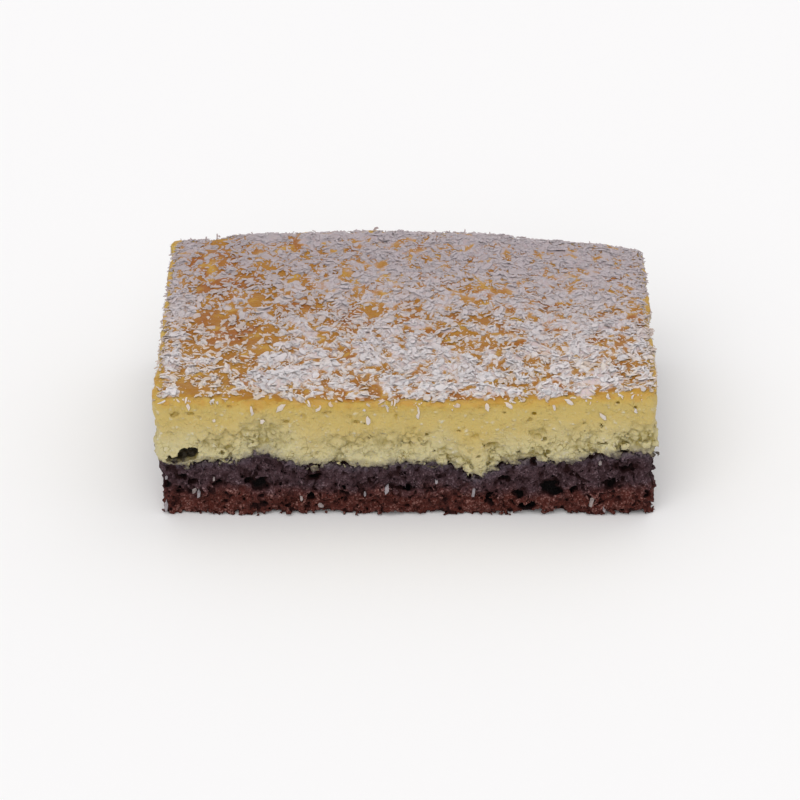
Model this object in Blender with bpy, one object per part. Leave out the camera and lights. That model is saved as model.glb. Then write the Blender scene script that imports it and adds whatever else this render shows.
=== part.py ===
"""A rectangular portion of chocolate coconut sheet cake, in metres with +Z up.

It has two baked layers that run right through it: a dark cocoa sponge below, and a pale coconut layer above it with
flakes of desiccated coconut on top. X runs along the long cut sides and -Y is the front. The origin is the middle of
the bounding box's underside, so the portion stands on the XY plane.
"""

import math
import random

import bmesh
import bpy
from mathutils import Euler, Matrix, Vector, noise

MM = 0.001

# The portion's outline, seen from above
LENGTH = 100 * MM
DEPTH = 66 * MM
CORNER_RADIUS = 1.6 * MM

# The two layers
SPONGE_HEIGHT = 12.4 * MM
FRONT_HEIGHT = 26.6 * MM
BACK_HEIGHT = 30.8 * MM
SEAM_GAP = 0.3 * MM
RIM_RADIUS = 1.3 * MM
CELLS_LONG, CELLS_DEEP = 34, 22
SPONGE_CELLS_HIGH, COCONUT_CELLS_HIGH = 5, 6

# The wavy seam between the layers: it waves near the cut sides and is level inside
SEAM_WAVE = 1.5 * MM
SEAM_WAVE_LENGTH = 11 * MM
SEAM_VISIBLE_DEPTH = 8 * MM
# Swells of the seam along the front: (middle along X, half width, height)
FRONT_SWELLS = (
    (-29 * MM, 4.0 * MM, 2.2 * MM),
    (-9 * MM, 4.0 * MM, -1.2 * MM),
    (14 * MM, 3.6 * MM, -3.2 * MM),
    (46 * MM, 13.0 * MM, 2.4 * MM),
)

# Relief of the cut sides and the underside
SPONGE_CRAG = 1.3 * MM
SPONGE_CRAG_SIZE = 3.6 * MM
SPONGE_INSET = 0.7 * MM
COCONUT_CRAG = 0.8 * MM
COCONUT_CRAG_SIZE = 4.5 * MM
TOP_SWELL = 0.45 * MM
TOP_SWELL_SIZE = 13 * MM
UNDERSIDE_ARCH = 1.3 * MM
UNDERSIDE_ARCH_SIZE = 8 * MM

# Bubbles left open by the cut, on the front: (along X, height, width, height of the bubble)
SPONGE_FRONT_BUBBLES = (
    (-29.5 * MM, 7.2 * MM, 4.6 * MM, 2.4 * MM),
    (-12.4 * MM, 4.4 * MM, 1.8 * MM, 2.6 * MM),
    (-0.4 * MM, 6.3 * MM, 3.6 * MM, 1.4 * MM),
    (29.2 * MM, 6.9 * MM, 3.4 * MM, 3.0 * MM),
    (24.2 * MM, 1.6 * MM, 2.6 * MM, 2.4 * MM),
    (43.5 * MM, 7.8 * MM, 2.2 * MM, 1.8 * MM),
)
COCONUT_FRONT_BUBBLES = (
    (-43.2 * MM, 15.4 * MM, 3.2 * MM, 2.2 * MM),
    (14.8 * MM, 16.8 * MM, 3.0 * MM, 1.8 * MM),
    (-27.0 * MM, 17.2 * MM, 2.4 * MM, 1.6 * MM),
)
BUBBLES_PER_SIDE = 4
BUBBLE_DEPTH = 4.6 * MM

# Desiccated coconut
FLAKE_COUNT = 205
SIDE_FLAKE_COUNT = 14
FLAKE_SPACING = 3.8 * MM
FLAKE_LENGTH = (2.8 * MM, 4.6 * MM)
FLAKE_THICKNESS = 0.9 * MM
FLAKE_LIFT = 0.12 * MM
FLAKE_TILT = math.radians(11)
FLAKE_EDGE_MARGIN = 1.9 * MM
# Flake outlines: (name, number of sides, width as a share of the length)
FLAKE_KINDS = (("chip", 6, 0.58), ("sliver", 4, 0.34), ("shard", 5, 0.46), ("shred", 4, 0.28))
# Where the topping is thin: (X, Y, radius, share of the flakes that lie there)
BARE_PATCHES = (
    (-29 * MM, -2 * MM, 15 * MM, 0.12),
    (-24 * MM, 17 * MM, 9 * MM, 0.25),
    (-3 * MM, -7 * MM, 5 * MM, 0.3),
    (30 * MM, 2 * MM, 5 * MM, 0.4),
)
SEED = 17

COCOA_BROWN = (0.055, 0.022, 0.018, 1)
COCONUT_CREAM = (0.70, 0.55, 0.24, 1)


def clear_scene():
    """Removes whatever the file opened with."""
    for old in list(bpy.data.objects):
        bpy.data.objects.remove(old)


def material(name, colour, roughness):
    made = bpy.data.materials.new(name)
    made.use_nodes = True
    shader = made.node_tree.nodes["Principled BSDF"]
    shader.inputs["Base Color"].default_value = colour
    shader.inputs["Roughness"].default_value = roughness
    shader.inputs["Metallic"].default_value = 0
    return made


def rough(point, size, seed):
    """Fractal noise from about -1 to 1, whose lumps measure size."""
    return noise.fractal(point / size + Vector((seed, seed, seed)), 1.0, 2.0, 3)


def near_side(x, y):
    """1 at the cut sides, falling smoothly to 0 where the seam is out of sight."""
    inside = min(LENGTH / 2 - abs(x), DEPTH / 2 - abs(y))
    share = min(max(1 - inside / SEAM_VISIBLE_DEPTH, 0), 1)
    return share * share * (3 - 2 * share)


def seam_height(x, y):
    """Height of the middle of the seam between sponge and coconut layer."""
    wave = SEAM_WAVE * rough(Vector((x, y, 0)), SEAM_WAVE_LENGTH, 5.3)
    front = math.exp(-(((y + DEPTH / 2) / SEAM_VISIBLE_DEPTH) ** 2))
    swell = sum(high * math.exp(-(((x - middle) / wide) ** 2)) for middle, wide, high in FRONT_SWELLS)
    return SPONGE_HEIGHT + near_side(x, y) * ((1 - 0.6 * front) * wave + front * swell)


def top_height(x, y):
    """Height of the baked top: low along the front, and domed along the back."""
    along = 2 * x / LENGTH
    share = min(max(y / DEPTH + 0.5, 0), 1)
    front = FRONT_HEIGHT + (1.9 * along**2 + 0.65 * along) * MM
    back = BACK_HEIGHT - (3.2 * along**2 + 1.15 * along) * MM
    rise = share * share * (3 - 2 * share)
    return front + (back - front) * rise + TOP_SWELL * rough(Vector((x, y, 0)), TOP_SWELL_SIZE, 9.1)


def underside_height(x, y):
    """The underside is flat, and arches up a little here and there along its rim."""
    arch = UNDERSIDE_ARCH * 1.6 * rough(Vector((x, y, 0)), UNDERSIDE_ARCH_SIZE, 2.7)
    return min(max(arch, 0), UNDERSIDE_ARCH)


def wall_of(share):
    """-1 or 1 on the low or high wall of the unit block, 0 between them."""
    return round(2 * share) if abs(share) > 0.499 else 0


def in_rounded_outline(x, y):
    """The point, pulled in where it lies outside the portion's rounded corners."""
    past = Vector((abs(x) - LENGTH / 2 + CORNER_RADIUS, abs(y) - DEPTH / 2 + CORNER_RADIUS))
    if min(past) <= 0 or past.length <= CORNER_RADIUS:
        return x, y
    pull = past * (1 - CORNER_RADIUS / past.length)
    return x - math.copysign(pull.x, x), y - math.copysign(pull.y, y)


def cut_block(cells):
    """A unit cube cut into a grid of that many cells along X, Y and Z."""
    block = bmesh.new()
    bmesh.ops.create_cube(block, size=1)
    for axis, count in enumerate(cells):
        normal = Vector([float(axis == k) for k in range(3)])
        for k in range(1, count):
            bmesh.ops.bisect_plane(
                block,
                geom=[*block.verts, *block.edges, *block.faces],
                plane_co=normal * (k / count - 0.5),
                plane_no=normal,
            )
    return block


def layer(name, cells, low, high, crag, look):
    """One baked layer between two height functions.

    crag(point, share) is how far a wall stands out at a point, share being its height in the layer from 0 to 1.
    """
    block = cut_block(cells)
    for vertex in block.verts:
        share = vertex.co.z + 0.5
        outward = Vector((wall_of(vertex.co.x), wall_of(vertex.co.y), 0))
        x, y = in_rounded_outline(vertex.co.x * LENGTH, vertex.co.y * DEPTH)
        if outward.length:
            flat = Vector((x, y, low(x, y) + share * (high(x, y) - low(x, y))))
            x, y = (flat + crag(flat, share) * outward.normalized()).xy
        vertex.co = (x, y, low(x, y) + share * (high(x, y) - low(x, y)))
        if share == 0 and outward.length and low is sponge_underside:
            vertex.co.z = underside_height(x, y)
    bmesh.ops.triangulate(block, faces=block.faces, quad_method="SHORT_EDGE")
    mesh = bpy.data.meshes.new(name)
    block.to_mesh(mesh)
    block.free()
    mesh.materials.append(look)
    made = bpy.data.objects.new(name, mesh)
    return made


def sponge_underside(x, y):
    return 0.0


def sponge_top(x, y):
    return seam_height(x, y) - SEAM_GAP / 2


def coconut_underside(x, y):
    return seam_height(x, y) + SEAM_GAP / 2


def seam_crag(point):
    """How far both layers stand out along the seam, where they are baked together."""
    return COCONUT_CRAG * rough(Vector((point.x, point.y, 0)), COCONUT_CRAG_SIZE, 6.2) - SPONGE_INSET / 2


def sponge_crag(point, share):
    """Crumbly and set back a little from the layer above, most of all at the left end."""
    left = max(-2 * point.x / LENGTH, 0) ** 4
    crumb = SPONGE_CRAG * rough(point, SPONGE_CRAG_SIZE, 1.9) - SPONGE_INSET * (0.4 + 0.6 * left)
    return crumb + (seam_crag(point) - crumb) * share**4


def coconut_crag(point, share):
    """Close-textured, with a worn upper rim."""
    worn = max(1 - (1 - share) * COCONUT_CELLS_HIGH, 0)
    crumb = COCONUT_CRAG * rough(point, COCONUT_CRAG_SIZE, 4.4) - RIM_RADIUS * worn**2
    return crumb + (seam_crag(point) - crumb) * (1 - share) ** 4


def bubble(name, middle, size, helpers):
    """An uneven egg-shaped cutter for one open bubble."""
    ball = bmesh.new()
    bmesh.ops.create_icosphere(ball, subdivisions=1, radius=0.5)
    for vertex in ball.verts:
        vertex.co *= 1 + 0.25 * noise.noise(vertex.co * 3 + middle / MM)
    mesh = bpy.data.meshes.new(name)
    ball.to_mesh(mesh)
    ball.free()
    made = bpy.data.objects.new(name, mesh)
    made.matrix_world = Matrix.LocRotScale(middle, None, size)
    made.hide_render = True
    made.display_type = "WIRE"
    helpers.objects.link(made)


def bubbles(name, front, low, high, rng, helpers):
    """The cutters for a layer's open bubbles: those of the front, and scattered ones on the other three sides."""
    for k, (x, z, wide, tall) in enumerate(front):
        bubble(f"{name}_front_{k}", Vector((x, -DEPTH / 2, z)), Vector((wide, BUBBLE_DEPTH, tall)), helpers)
    sides = ((Vector((0, 1, 0)), LENGTH), (Vector((-1, 0, 0)), DEPTH), (Vector((1, 0, 0)), DEPTH))
    for side, (outward, run) in enumerate(sides):
        reach = abs(outward.x) * LENGTH / 2 + abs(outward.y) * DEPTH / 2
        for k in range(BUBBLES_PER_SIDE):
            along = run * ((k + rng.uniform(0.25, 0.75)) / BUBBLES_PER_SIDE - 0.5)
            place = outward * reach + outward.cross(Vector((0, 0, 1))) * along
            place.z = rng.uniform(low, high)
            wide, tall = rng.uniform(1.8, 4.2) * MM, rng.uniform(1.4, 2.6) * MM
            size = Vector((wide, BUBBLE_DEPTH, tall)) if outward.y else Vector((BUBBLE_DEPTH, wide, tall))
            bubble(f"{name}_side_{side}_{k}", place, size, helpers)


def combine(target, operation, tools, solver):
    """Applies one Boolean of a whole collection to the target, then removes the collection's objects."""
    modifier = target.modifiers.new(operation.lower(), "BOOLEAN")
    modifier.operation = operation
    modifier.operand_type = "COLLECTION"
    modifier.collection = tools
    modifier.solver = solver
    bpy.context.view_layer.update()
    graph = bpy.context.evaluated_depsgraph_get()
    made = bpy.data.meshes.new_from_object(target.evaluated_get(graph))
    made.name = target.name
    target.modifiers.clear()
    target.data = made
    for tool in list(tools.objects):
        bpy.data.objects.remove(tool)
    bpy.data.collections.remove(tools)


def helper_collection(name):
    made = bpy.data.collections.new(name)
    bpy.context.scene.collection.children.link(made)
    return made


def flake_mesh(name, sides, look):
    """A flat flake one unit long and thick, with a narrower upper face and uneven corners."""
    flake = bmesh.new()
    bmesh.ops.create_cone(flake, cap_ends=True, segments=sides, radius1=0.5, radius2=0.4, depth=1)
    for vertex in flake.verts:
        vertex.co.xy *= 1 + 0.16 * noise.noise(Vector((vertex.co.x * 5, vertex.co.y * 5, sides)))
    mesh = bpy.data.meshes.new(name)
    flake.to_mesh(mesh)
    flake.free()
    mesh.materials.append(look)
    return mesh


def topping_share(x, y):
    """The share of flakes that lie at a place: 1 where the topping is thick."""
    share = 1
    for middle_x, middle_y, radius, kept in BARE_PATCHES:
        nearness = math.exp(-(math.hypot(x - middle_x, y - middle_y) / radius) ** 4)
        share = min(share, 1 - (1 - kept) * nearness)
    return share


def flake_places(rng):
    """Evenly spread places on the top, fewer in the bare patches."""
    places = []
    reach = Vector((LENGTH / 2 - FLAKE_EDGE_MARGIN, DEPTH / 2 - FLAKE_EDGE_MARGIN))
    for _ in range(FLAKE_COUNT * 60):
        place = Vector((rng.uniform(-reach.x, reach.x), rng.uniform(-reach.y, reach.y)))
        keep = rng.random() < topping_share(*place) ** 2
        if keep and all((place - other).length > FLAKE_SPACING for other in places):
            places.append(place)
        if len(places) == FLAKE_COUNT:
            break
    return places


def lay_flakes(look, rng, flakes):
    """Flakes that lie on the baked top, sunk in it to their lower half, and a few that cling below the front rim."""
    meshes = [(flake_mesh(name, sides, look), wide) for name, sides, wide in FLAKE_KINDS]
    for k, place in enumerate(flake_places(rng)):
        mesh, wide = meshes[k % len(meshes)]
        length = rng.uniform(*FLAKE_LENGTH)
        turn = Euler((rng.uniform(-FLAKE_TILT, FLAKE_TILT), rng.uniform(-FLAKE_TILT, FLAKE_TILT), rng.uniform(0, math.pi)))
        flake = bpy.data.objects.new(f"flake_{k}", mesh)
        height = top_height(*place) + FLAKE_LIFT
        scale = Vector((length, length * wide, FLAKE_THICKNESS))
        flake.matrix_world = Matrix.LocRotScale(Vector((*place, height)), turn, scale)
        flakes.objects.link(flake)
    mesh, wide = meshes[-1]
    for k in range(SIDE_FLAKE_COUNT):
        x = LENGTH * ((k + rng.uniform(0.2, 0.8)) / SIDE_FLAKE_COUNT - 0.5) * 0.94
        drop = rng.uniform(2.8, 4.6) * MM
        y = -DEPTH / 2 - COCONUT_CRAG * 0.2
        turn = Euler((math.pi / 2, rng.uniform(-0.5, 0.5) + math.pi / 2, 0))
        length = rng.uniform(*FLAKE_LENGTH) * 0.8
        flake = bpy.data.objects.new(f"side_flake_{k}", mesh)
        scale = Vector((length, length * wide, FLAKE_THICKNESS))
        flake.matrix_world = Matrix.LocRotScale(Vector((x, y, top_height(x, y) - drop)), turn, scale)
        flakes.objects.link(flake)


def stand_at_origin(objects):
    """Shifts the objects together, so that the middle of their box's underside is the origin."""
    bpy.context.view_layer.update()
    corners = [vertex.co for made in objects for vertex in made.data.vertices]
    low = Vector([min(corner[k] for corner in corners) for k in range(3)])
    high = Vector([max(corner[k] for corner in corners) for k in range(3)])
    shift = Vector((-(low.x + high.x) / 2, -(low.y + high.y) / 2, -low.z))
    for made in objects:
        made.location = shift


def main():
    clear_scene()
    rng = random.Random(SEED)
    cake = bpy.data.collections.new("chocolate_coconut_cake")
    bpy.context.scene.collection.children.link(cake)
    cocoa = material("cocoa_sponge", COCOA_BROWN, 0.9)
    cream = material("coconut_layer", COCONUT_CREAM, 0.6)

    sponge = layer(
        "cocoa_sponge",
        (CELLS_LONG, CELLS_DEEP, SPONGE_CELLS_HIGH),
        sponge_underside,
        sponge_top,
        sponge_crag,
        cocoa,
    )
    cake.objects.link(sponge)
    cutters = helper_collection("sponge_bubbles")
    bubbles("sponge", SPONGE_FRONT_BUBBLES, 4 * MM, 9 * MM, rng, cutters)
    combine(sponge, "DIFFERENCE", cutters, "EXACT")

    coconut = layer(
        "coconut_layer",
        (CELLS_LONG, CELLS_DEEP, COCONUT_CELLS_HIGH),
        coconut_underside,
        top_height,
        coconut_crag,
        cream,
    )
    cake.objects.link(coconut)
    cutters = helper_collection("coconut_bubbles")
    bubbles("coconut", COCONUT_FRONT_BUBBLES, 16 * MM, 20 * MM, rng, cutters)
    combine(coconut, "DIFFERENCE", cutters, "EXACT")
    flakes = helper_collection("flakes")
    lay_flakes(cream, rng, flakes)
    combine(coconut, "UNION", flakes, "MANIFOLD")
    stand_at_origin((sponge, coconut))


main()
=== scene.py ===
"""Dress the chocolate coconut cake: fine crumb, browned top, loose coconut, floor, light and camera.

Sizes inside the classes are in millimetres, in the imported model's own frame, and become metres
only where a mesh is made.
"""

import logging
import math
from dataclasses import dataclass, field
from enum import Enum
from itertools import product
from typing import Callable, Iterator, Sequence

import bmesh
import bpy
import numpy as np
from mathutils import Matrix, Vector, noise


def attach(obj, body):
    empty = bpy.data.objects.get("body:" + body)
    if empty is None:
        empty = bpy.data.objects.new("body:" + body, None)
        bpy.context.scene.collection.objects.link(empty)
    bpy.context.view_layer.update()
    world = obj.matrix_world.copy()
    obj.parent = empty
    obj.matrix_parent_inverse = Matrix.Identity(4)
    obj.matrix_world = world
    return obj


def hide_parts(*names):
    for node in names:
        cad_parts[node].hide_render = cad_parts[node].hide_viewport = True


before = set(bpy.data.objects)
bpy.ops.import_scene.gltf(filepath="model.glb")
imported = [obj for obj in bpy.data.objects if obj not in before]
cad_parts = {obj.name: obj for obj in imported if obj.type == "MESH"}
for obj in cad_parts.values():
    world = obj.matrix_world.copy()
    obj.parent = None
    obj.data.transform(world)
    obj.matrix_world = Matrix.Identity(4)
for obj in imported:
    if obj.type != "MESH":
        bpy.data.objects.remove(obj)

MM = 0.001
BODY = "root"
Array = np.ndarray
Pair = tuple[float, float]
Triple = tuple[float, float, float]
Socket = bpy.types.NodeSocket
Paint = Socket | Triple

# Openings in a wall: place along it, height, width and tallness
Opening = tuple[float, float, float, float]
# Bare places on the top: x, y, reach and bareness
BareSpot = tuple[float, float, float, float]
# Heaps on the top: x, y, reach and number of flakes
Heap = tuple[float, float, float, int]
# Coconut on a wall: place along it, height, length, width and turn
WallSpot = tuple[float, float, float, float, float]

log = logging.getLogger("cake")


# Shape rules


def soft_max(first: Array, second: Array, reach: float) -> Array:
    """Take the larger of two fields and round the edge between them.

    Args:
        first: One field.
        second: The other field.
        reach: The distance over which the edge is rounded.

    Returns:
        The joined field.
    """
    overlap = np.maximum(reach - np.abs(first - second), 0)
    return np.maximum(first, second) + overlap * overlap / (4 * reach)


def eased(value: Array) -> Array:
    """Bring a value into 0 to 1, with a slow start and a slow end."""
    share = np.clip(value, 0, 1)
    return share * share * (3 - 2 * share)


def crevice(gap: Array, width: float) -> Array:
    """Give 1 where two neighbouring lumps meet and 0 away from there."""
    return np.exp(-((gap / width) ** 2))


def crowned(middle: Array) -> Array:
    """Round a lump's face by the distance from its middle."""
    return 0.30 - middle**2


def rough(x: Array, y: Array, z: Array, size: float, seed: float) -> Array:
    """Read the layered noise that shapes the solids.

    Args:
        x, y, z: The places, as arrays of one shape.
        size: The size of the largest lumps.
        seed: The shift that tells one noise from another.

    Returns:
        The noise at each place.
    """
    places = zip(x.ravel() / size + seed, y.ravel() / size + seed, z.ravel() / size + seed)
    read = [noise.fractal(place, 1.0, 2.0, 3) for place in places]
    return np.array(read, np.float32).reshape(x.shape)


def read_grid(values: Array, start: Sequence[float], step: float, places: Sequence[Array]) -> Array:
    """Read an even grid of values at places between its points.

    Args:
        values: The grid, with one axis for each direction.
        start: Where the grid begins in each direction.
        step: The distance between two points of the grid.
        places: The places to read, one array for each direction.

    Returns:
        The blended value at each place.
    """
    lows, shares = [], []
    for axis, place in enumerate(places):
        scaled = np.clip((place - start[axis]) / step, 0, values.shape[axis] - 1.001)
        low = scaled.astype(np.int32)
        lows.append(low)
        shares.append((scaled - low).astype(np.float32))
    total = np.float32(0)
    for corner in product((0, 1), repeat=len(places)):
        weight = np.float32(1)
        for side, share in zip(corner, shares):
            weight = weight * (share if side else 1 - share)
        total = total + weight * values[tuple(low + side for low, side in zip(lows, corner))]
    return total


@dataclass(frozen=True)
class CakeShape:
    """The cut outline and the heights of the faces."""

    length: float = 100.0
    depth: float = 66.0
    corner_radius: float = 1.6
    sponge_height: float = 12.6
    front_height: float = 26.6
    back_height: float = 31.0
    seam_wave: float = 1.5
    seam_wave_size: float = 11.0
    seam_shift: float = 5.3
    front_calm: float = 0.6
    side_reach: float = 8.0
    # Swells of the front seam: place along it, reach and height
    swells: tuple[Triple, ...] = (
        (-29.0, 4.0, 2.2), (-9.0, 4.0, -1.2), (14.0, 3.6, -3.2), (46.0, 13.0, 2.4),
    )
    front_bow: float = 1.9
    front_lean: float = 0.65
    back_bow: float = 3.2
    back_lean: float = 1.15
    top_swell: float = 0.45
    top_swell_size: float = 13.0
    top_shift: float = 9.1
    arch: float = 0.5
    arch_size: float = 8.0
    arch_gain: float = 1.6
    arch_shift: float = 2.7
    arch_reach: float = 4.5

    def wall_distance(self, x: Array, y: Array) -> Array:
        """Measure how far outside the cut walls a place is, negative inside."""
        over_x = np.abs(x) - (self.length / 2 - self.corner_radius)
        over_y = np.abs(y) - (self.depth / 2 - self.corner_radius)
        outside = np.hypot(np.maximum(over_x, 0), np.maximum(over_y, 0))
        return outside + np.minimum(np.maximum(over_x, over_y), 0) - self.corner_radius

    def near_side(self, x: Array, y: Array) -> Array:
        """Give 1 at a cut wall and 0 where the inside begins."""
        inside = np.minimum(self.length / 2 - np.abs(x), self.depth / 2 - np.abs(y))
        return eased(1 - inside / self.side_reach)

    def left_end(self, x: Array) -> Array:
        """Give 1 at the left end, and soon nothing towards the middle."""
        return np.maximum(-2 * x / self.length, 0) ** 4

    def seam(self, x: Array, y: Array) -> Array:
        """Give the height of the seam between the two layers."""
        wave = self.seam_wave * rough(x, y, np.zeros_like(x), self.seam_wave_size, self.seam_shift)
        front = np.exp(-(((y + self.depth / 2) / self.side_reach) ** 2))
        swell = sum(high * np.exp(-(((x - middle) / wide) ** 2)) for middle, wide, high in self.swells)
        uneven = (1 - self.front_calm * front) * wave + front * swell
        return self.sponge_height + self.near_side(x, y) * uneven

    def top(self, x: Array, y: Array) -> Array:
        """Give the height of the browned top, which domes towards the back."""
        along = 2 * x / self.length
        share = eased(y / self.depth + 0.5)
        front = self.front_height + self.front_bow * along**2 + self.front_lean * along
        back = self.back_height - (self.back_bow * along**2 + self.back_lean * along)
        swell = self.top_swell * rough(x, y, np.zeros_like(x), self.top_swell_size, self.top_shift)
        return front + (back - front) * share + swell

    def underside(self, x: Array, y: Array) -> Array:
        """Give the height of the shallow arches under the rim."""
        lift = self.arch_gain * self.arch * rough(x, y, np.zeros_like(x), self.arch_size, self.arch_shift)
        rim = np.clip(1 + self.wall_distance(x, y) / self.arch_reach, 0, 1)
        return np.clip(lift, 0, self.arch) * rim


class HeightMap:
    """A height over the cake's plan, kept on an even grid."""

    MARGIN = 4.0
    STEP = 1.0

    def __init__(self, rule: Callable[[Array, Array], Array], shape: CakeShape) -> None:
        """Fill the grid.

        Args:
            rule: Gives the height at places x and y.
            shape: The cake's outline.
        """
        self.start = (-shape.length / 2 - self.MARGIN, -shape.depth / 2 - self.MARGIN)
        runs = [np.arange(low, -low + self.STEP, self.STEP) for low in self.start]
        x, y = np.meshgrid(*runs, indexing="ij")
        self.values = rule(x, y).astype(np.float32)

    def at(self, x: Array, y: Array) -> Array:
        """Read the height at any place."""
        return read_grid(self.values, self.start, self.STEP, (x, y))


class CakeHeights:
    """The seam, the top and the underside as height maps."""

    def __init__(self, shape: CakeShape) -> None:
        """Make the three maps of a shape."""
        self.shape = shape
        self.seam = HeightMap(shape.seam, shape)
        self.top = HeightMap(shape.top, shape)
        self.underside = HeightMap(shape.underside, shape)


# Noise in space


class SmoothNoise:
    """Seeded smooth noise between -1 and 1."""

    CELLS = 32
    SHIFT = 7.31
    FINER = 1.9
    FAINTER = 0.6

    def __init__(self, seed: int, channels: int = 1) -> None:
        """Draw the noise's lattice, with one value a channel at each of its points."""
        draws = np.random.default_rng(seed)
        self.table = draws.uniform(-1, 1, (self.CELLS**3, channels)).astype(np.float32)

    def at(self, places: Array, size: float) -> Array:
        """Read the noise.

        Args:
            places: One place a row.
            size: The size of a lump.

        Returns:
            The noise at each place, with one column a channel if there are several.
        """
        scaled = places / np.float32(size)
        low = np.floor(scaled).astype(np.int32)
        share = scaled - low
        share = share * share * (3 - 2 * share)
        ends = np.stack((low & (self.CELLS - 1), (low + 1) & (self.CELLS - 1)))
        total = np.zeros((len(places), self.table.shape[1]), np.float32)
        for a, b, c in product((0, 1), repeat=3):
            index = (ends[a, :, 0] * self.CELLS + ends[b, :, 1]) * self.CELLS + ends[c, :, 2]
            weight = share[:, 0] if a else 1 - share[:, 0]
            weight = weight * (share[:, 1] if b else 1 - share[:, 1])
            weight = weight * (share[:, 2] if c else 1 - share[:, 2])
            total += weight[:, None] * self.table[index]
        return total[:, 0] if total.shape[1] == 1 else total

    def layered(self, places: Array, size: float, layers: int = 3) -> Array:
        """Add finer and fainter noise to the first.

        Args:
            places: One place a row.
            size: The size of the largest lumps.
            layers: How many noises are added.

        Returns:
            The sum at each place.
        """
        total = self.at(places, size)
        for layer in range(1, layers):
            shifted = places + np.float32(self.SHIFT * layer)
            total += self.at(shifted, size / self.FINER**layer) * self.FAINTER**layer
        return total


class Grains:
    """One seeded point in every cell of space, for pores and lumps."""

    CELLS = 32

    def __init__(self, seed: int) -> None:
        """Draw the points."""
        draws = np.random.default_rng(seed)
        self.spots = draws.random((self.CELLS**3, 3)).astype(np.float32)
        self.kinds = draws.random(self.CELLS**3).astype(np.float32)
        leans = draws.normal(size=(self.CELLS**3, 3))
        self.leans = (leans / np.linalg.norm(leans, axis=1, keepdims=True)).astype(np.float32)

    def around(self, places: Array, size: float) -> Iterator[tuple[Array, Array, Array]]:
        """Walk the cells around each place.

        Args:
            places: One place a row.
            size: The size of a cell.

        Yields:
            The step to one neighbouring point in cells, its length, and that point's number.
        """
        scaled = places / np.float32(size)
        low = np.floor(scaled).astype(np.int32)
        share = scaled - low
        ends = np.stack([(low + k) & (self.CELLS - 1) for k in (-1, 0, 1)])
        for a, b, c in product((0, 1, 2), repeat=3):
            index = (ends[a, :, 0] * self.CELLS + ends[b, :, 1]) * self.CELLS + ends[c, :, 2]
            gap = self.spots[index] - share + np.array((a - 1, b - 1, c - 1), np.float32)
            yield gap, np.sqrt(np.einsum("ij,ij->i", gap, gap)), index

    def lumps(self, places: Array, size: float) -> tuple[Array, Array, Array, Array]:
        """Find the lump that each place belongs to.

        Args:
            places: One place a row.
            size: The size of a cell.

        Returns:
            The distance to the lump's middle, how much further the next lump's middle is, both as
            shares of the cell size, the lump's random kind, and how high its slanting face is there.
        """
        first = np.full(len(places), np.inf, np.float32)
        second = first.copy()
        owner = np.zeros(len(places), np.int32)
        step = np.zeros((len(places), 3), np.float32)
        for gap, distance, index in self.around(places, size):
            closer = distance < first
            second = np.where(closer, first, np.minimum(second, distance))
            first = np.where(closer, distance, first)
            owner[closer] = index[closer]
            step[closer] = gap[closer]
        return first, second - first, self.kinds[owner], np.einsum("ij,ij->i", step, self.leans[owner])

    def hollows(self, places: Array, size: float, radii: Pair, share: float) -> Array:
        """Open a round pore at some of the points.

        Args:
            places: One place a row.
            size: The size of a cell.
            radii: The smallest and the largest pore.
            share: How many of the points have one.

        Returns:
            The depth inside the nearest pore, negative outside.
        """
        found = np.full(len(places), -1.0, np.float32)
        for _, distance, index in self.around(places, size):
            kind = self.kinds[index]
            radius = radii[0] + (radii[1] - radii[0]) * kind / share
            np.maximum(found, np.where(kind < share, radius - distance * np.float32(size), -1.0), out=found)
        return found


class VoxelBlock:
    """An even grid of field values, negative inside a body."""

    def __init__(self, low: Triple, high: Triple, step: float) -> None:
        """Lay out an empty block.

        Args:
            low: The lowest corner.
            high: The highest corner.
            step: The distance between two values.
        """
        self.low = np.array(low, np.float32)
        self.step = step
        self.runs = [np.arange(a, b + step, step, dtype=np.float32) for a, b in zip(low, high)]
        self.values = np.zeros([len(run) for run in self.runs], np.float32)

    def columns(self) -> tuple[Array, Array]:
        """Give the x and y of every column."""
        return tuple(np.meshgrid(self.runs[0], self.runs[1], indexing="ij"))

    def places(self, chosen: tuple[Array, ...]) -> Array:
        """Give the places of chosen values, one a row."""
        return np.stack([run[index] for run, index in zip(self.runs, chosen)], axis=1)

    def surface(self) -> tuple[Array, Array]:
        """Lay one point in every cell that the body's surface crosses, and join them with quads.

        Returns:
            The points, and the four point numbers of every quad.
        """
        values = self.values
        inside = values < 0
        shape = np.array(values.shape)
        strides = np.array((shape[1] * shape[2], shape[2], 1))
        crossings, cells = [], []
        for axis in range(3):
            low = tuple(slice(None, -1) if k == axis else slice(None) for k in range(3))
            high = tuple(slice(1, None) if k == axis else slice(None) for k in range(3))
            ends = np.argwhere(inside[low] != inside[high])
            index = ends @ strides
            first = values.ravel()[index]
            second = values.ravel()[index + strides[axis]]
            places = ends.astype(np.float64)
            places[:, axis] += first / (first - second)
            b, c = strides[(axis + 1) % 3], strides[(axis + 2) % 3]
            ring = index[:, None] + np.array((-b - c, -c, 0, -b))
            ring[first > 0] = ring[first > 0][:, ::-1]
            crossings.append(places)
            cells.append(ring)
        places = np.repeat(np.concatenate(crossings), 4, axis=0)
        numbers, quads = np.unique(np.concatenate(cells).ravel(), return_inverse=True)
        count = np.bincount(quads, minlength=len(numbers))
        points = [np.bincount(quads, places[:, k], len(numbers)) / count for k in range(3)]
        return np.stack(points, axis=1) * self.step + self.low, quads.reshape(-1, 4)


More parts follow.
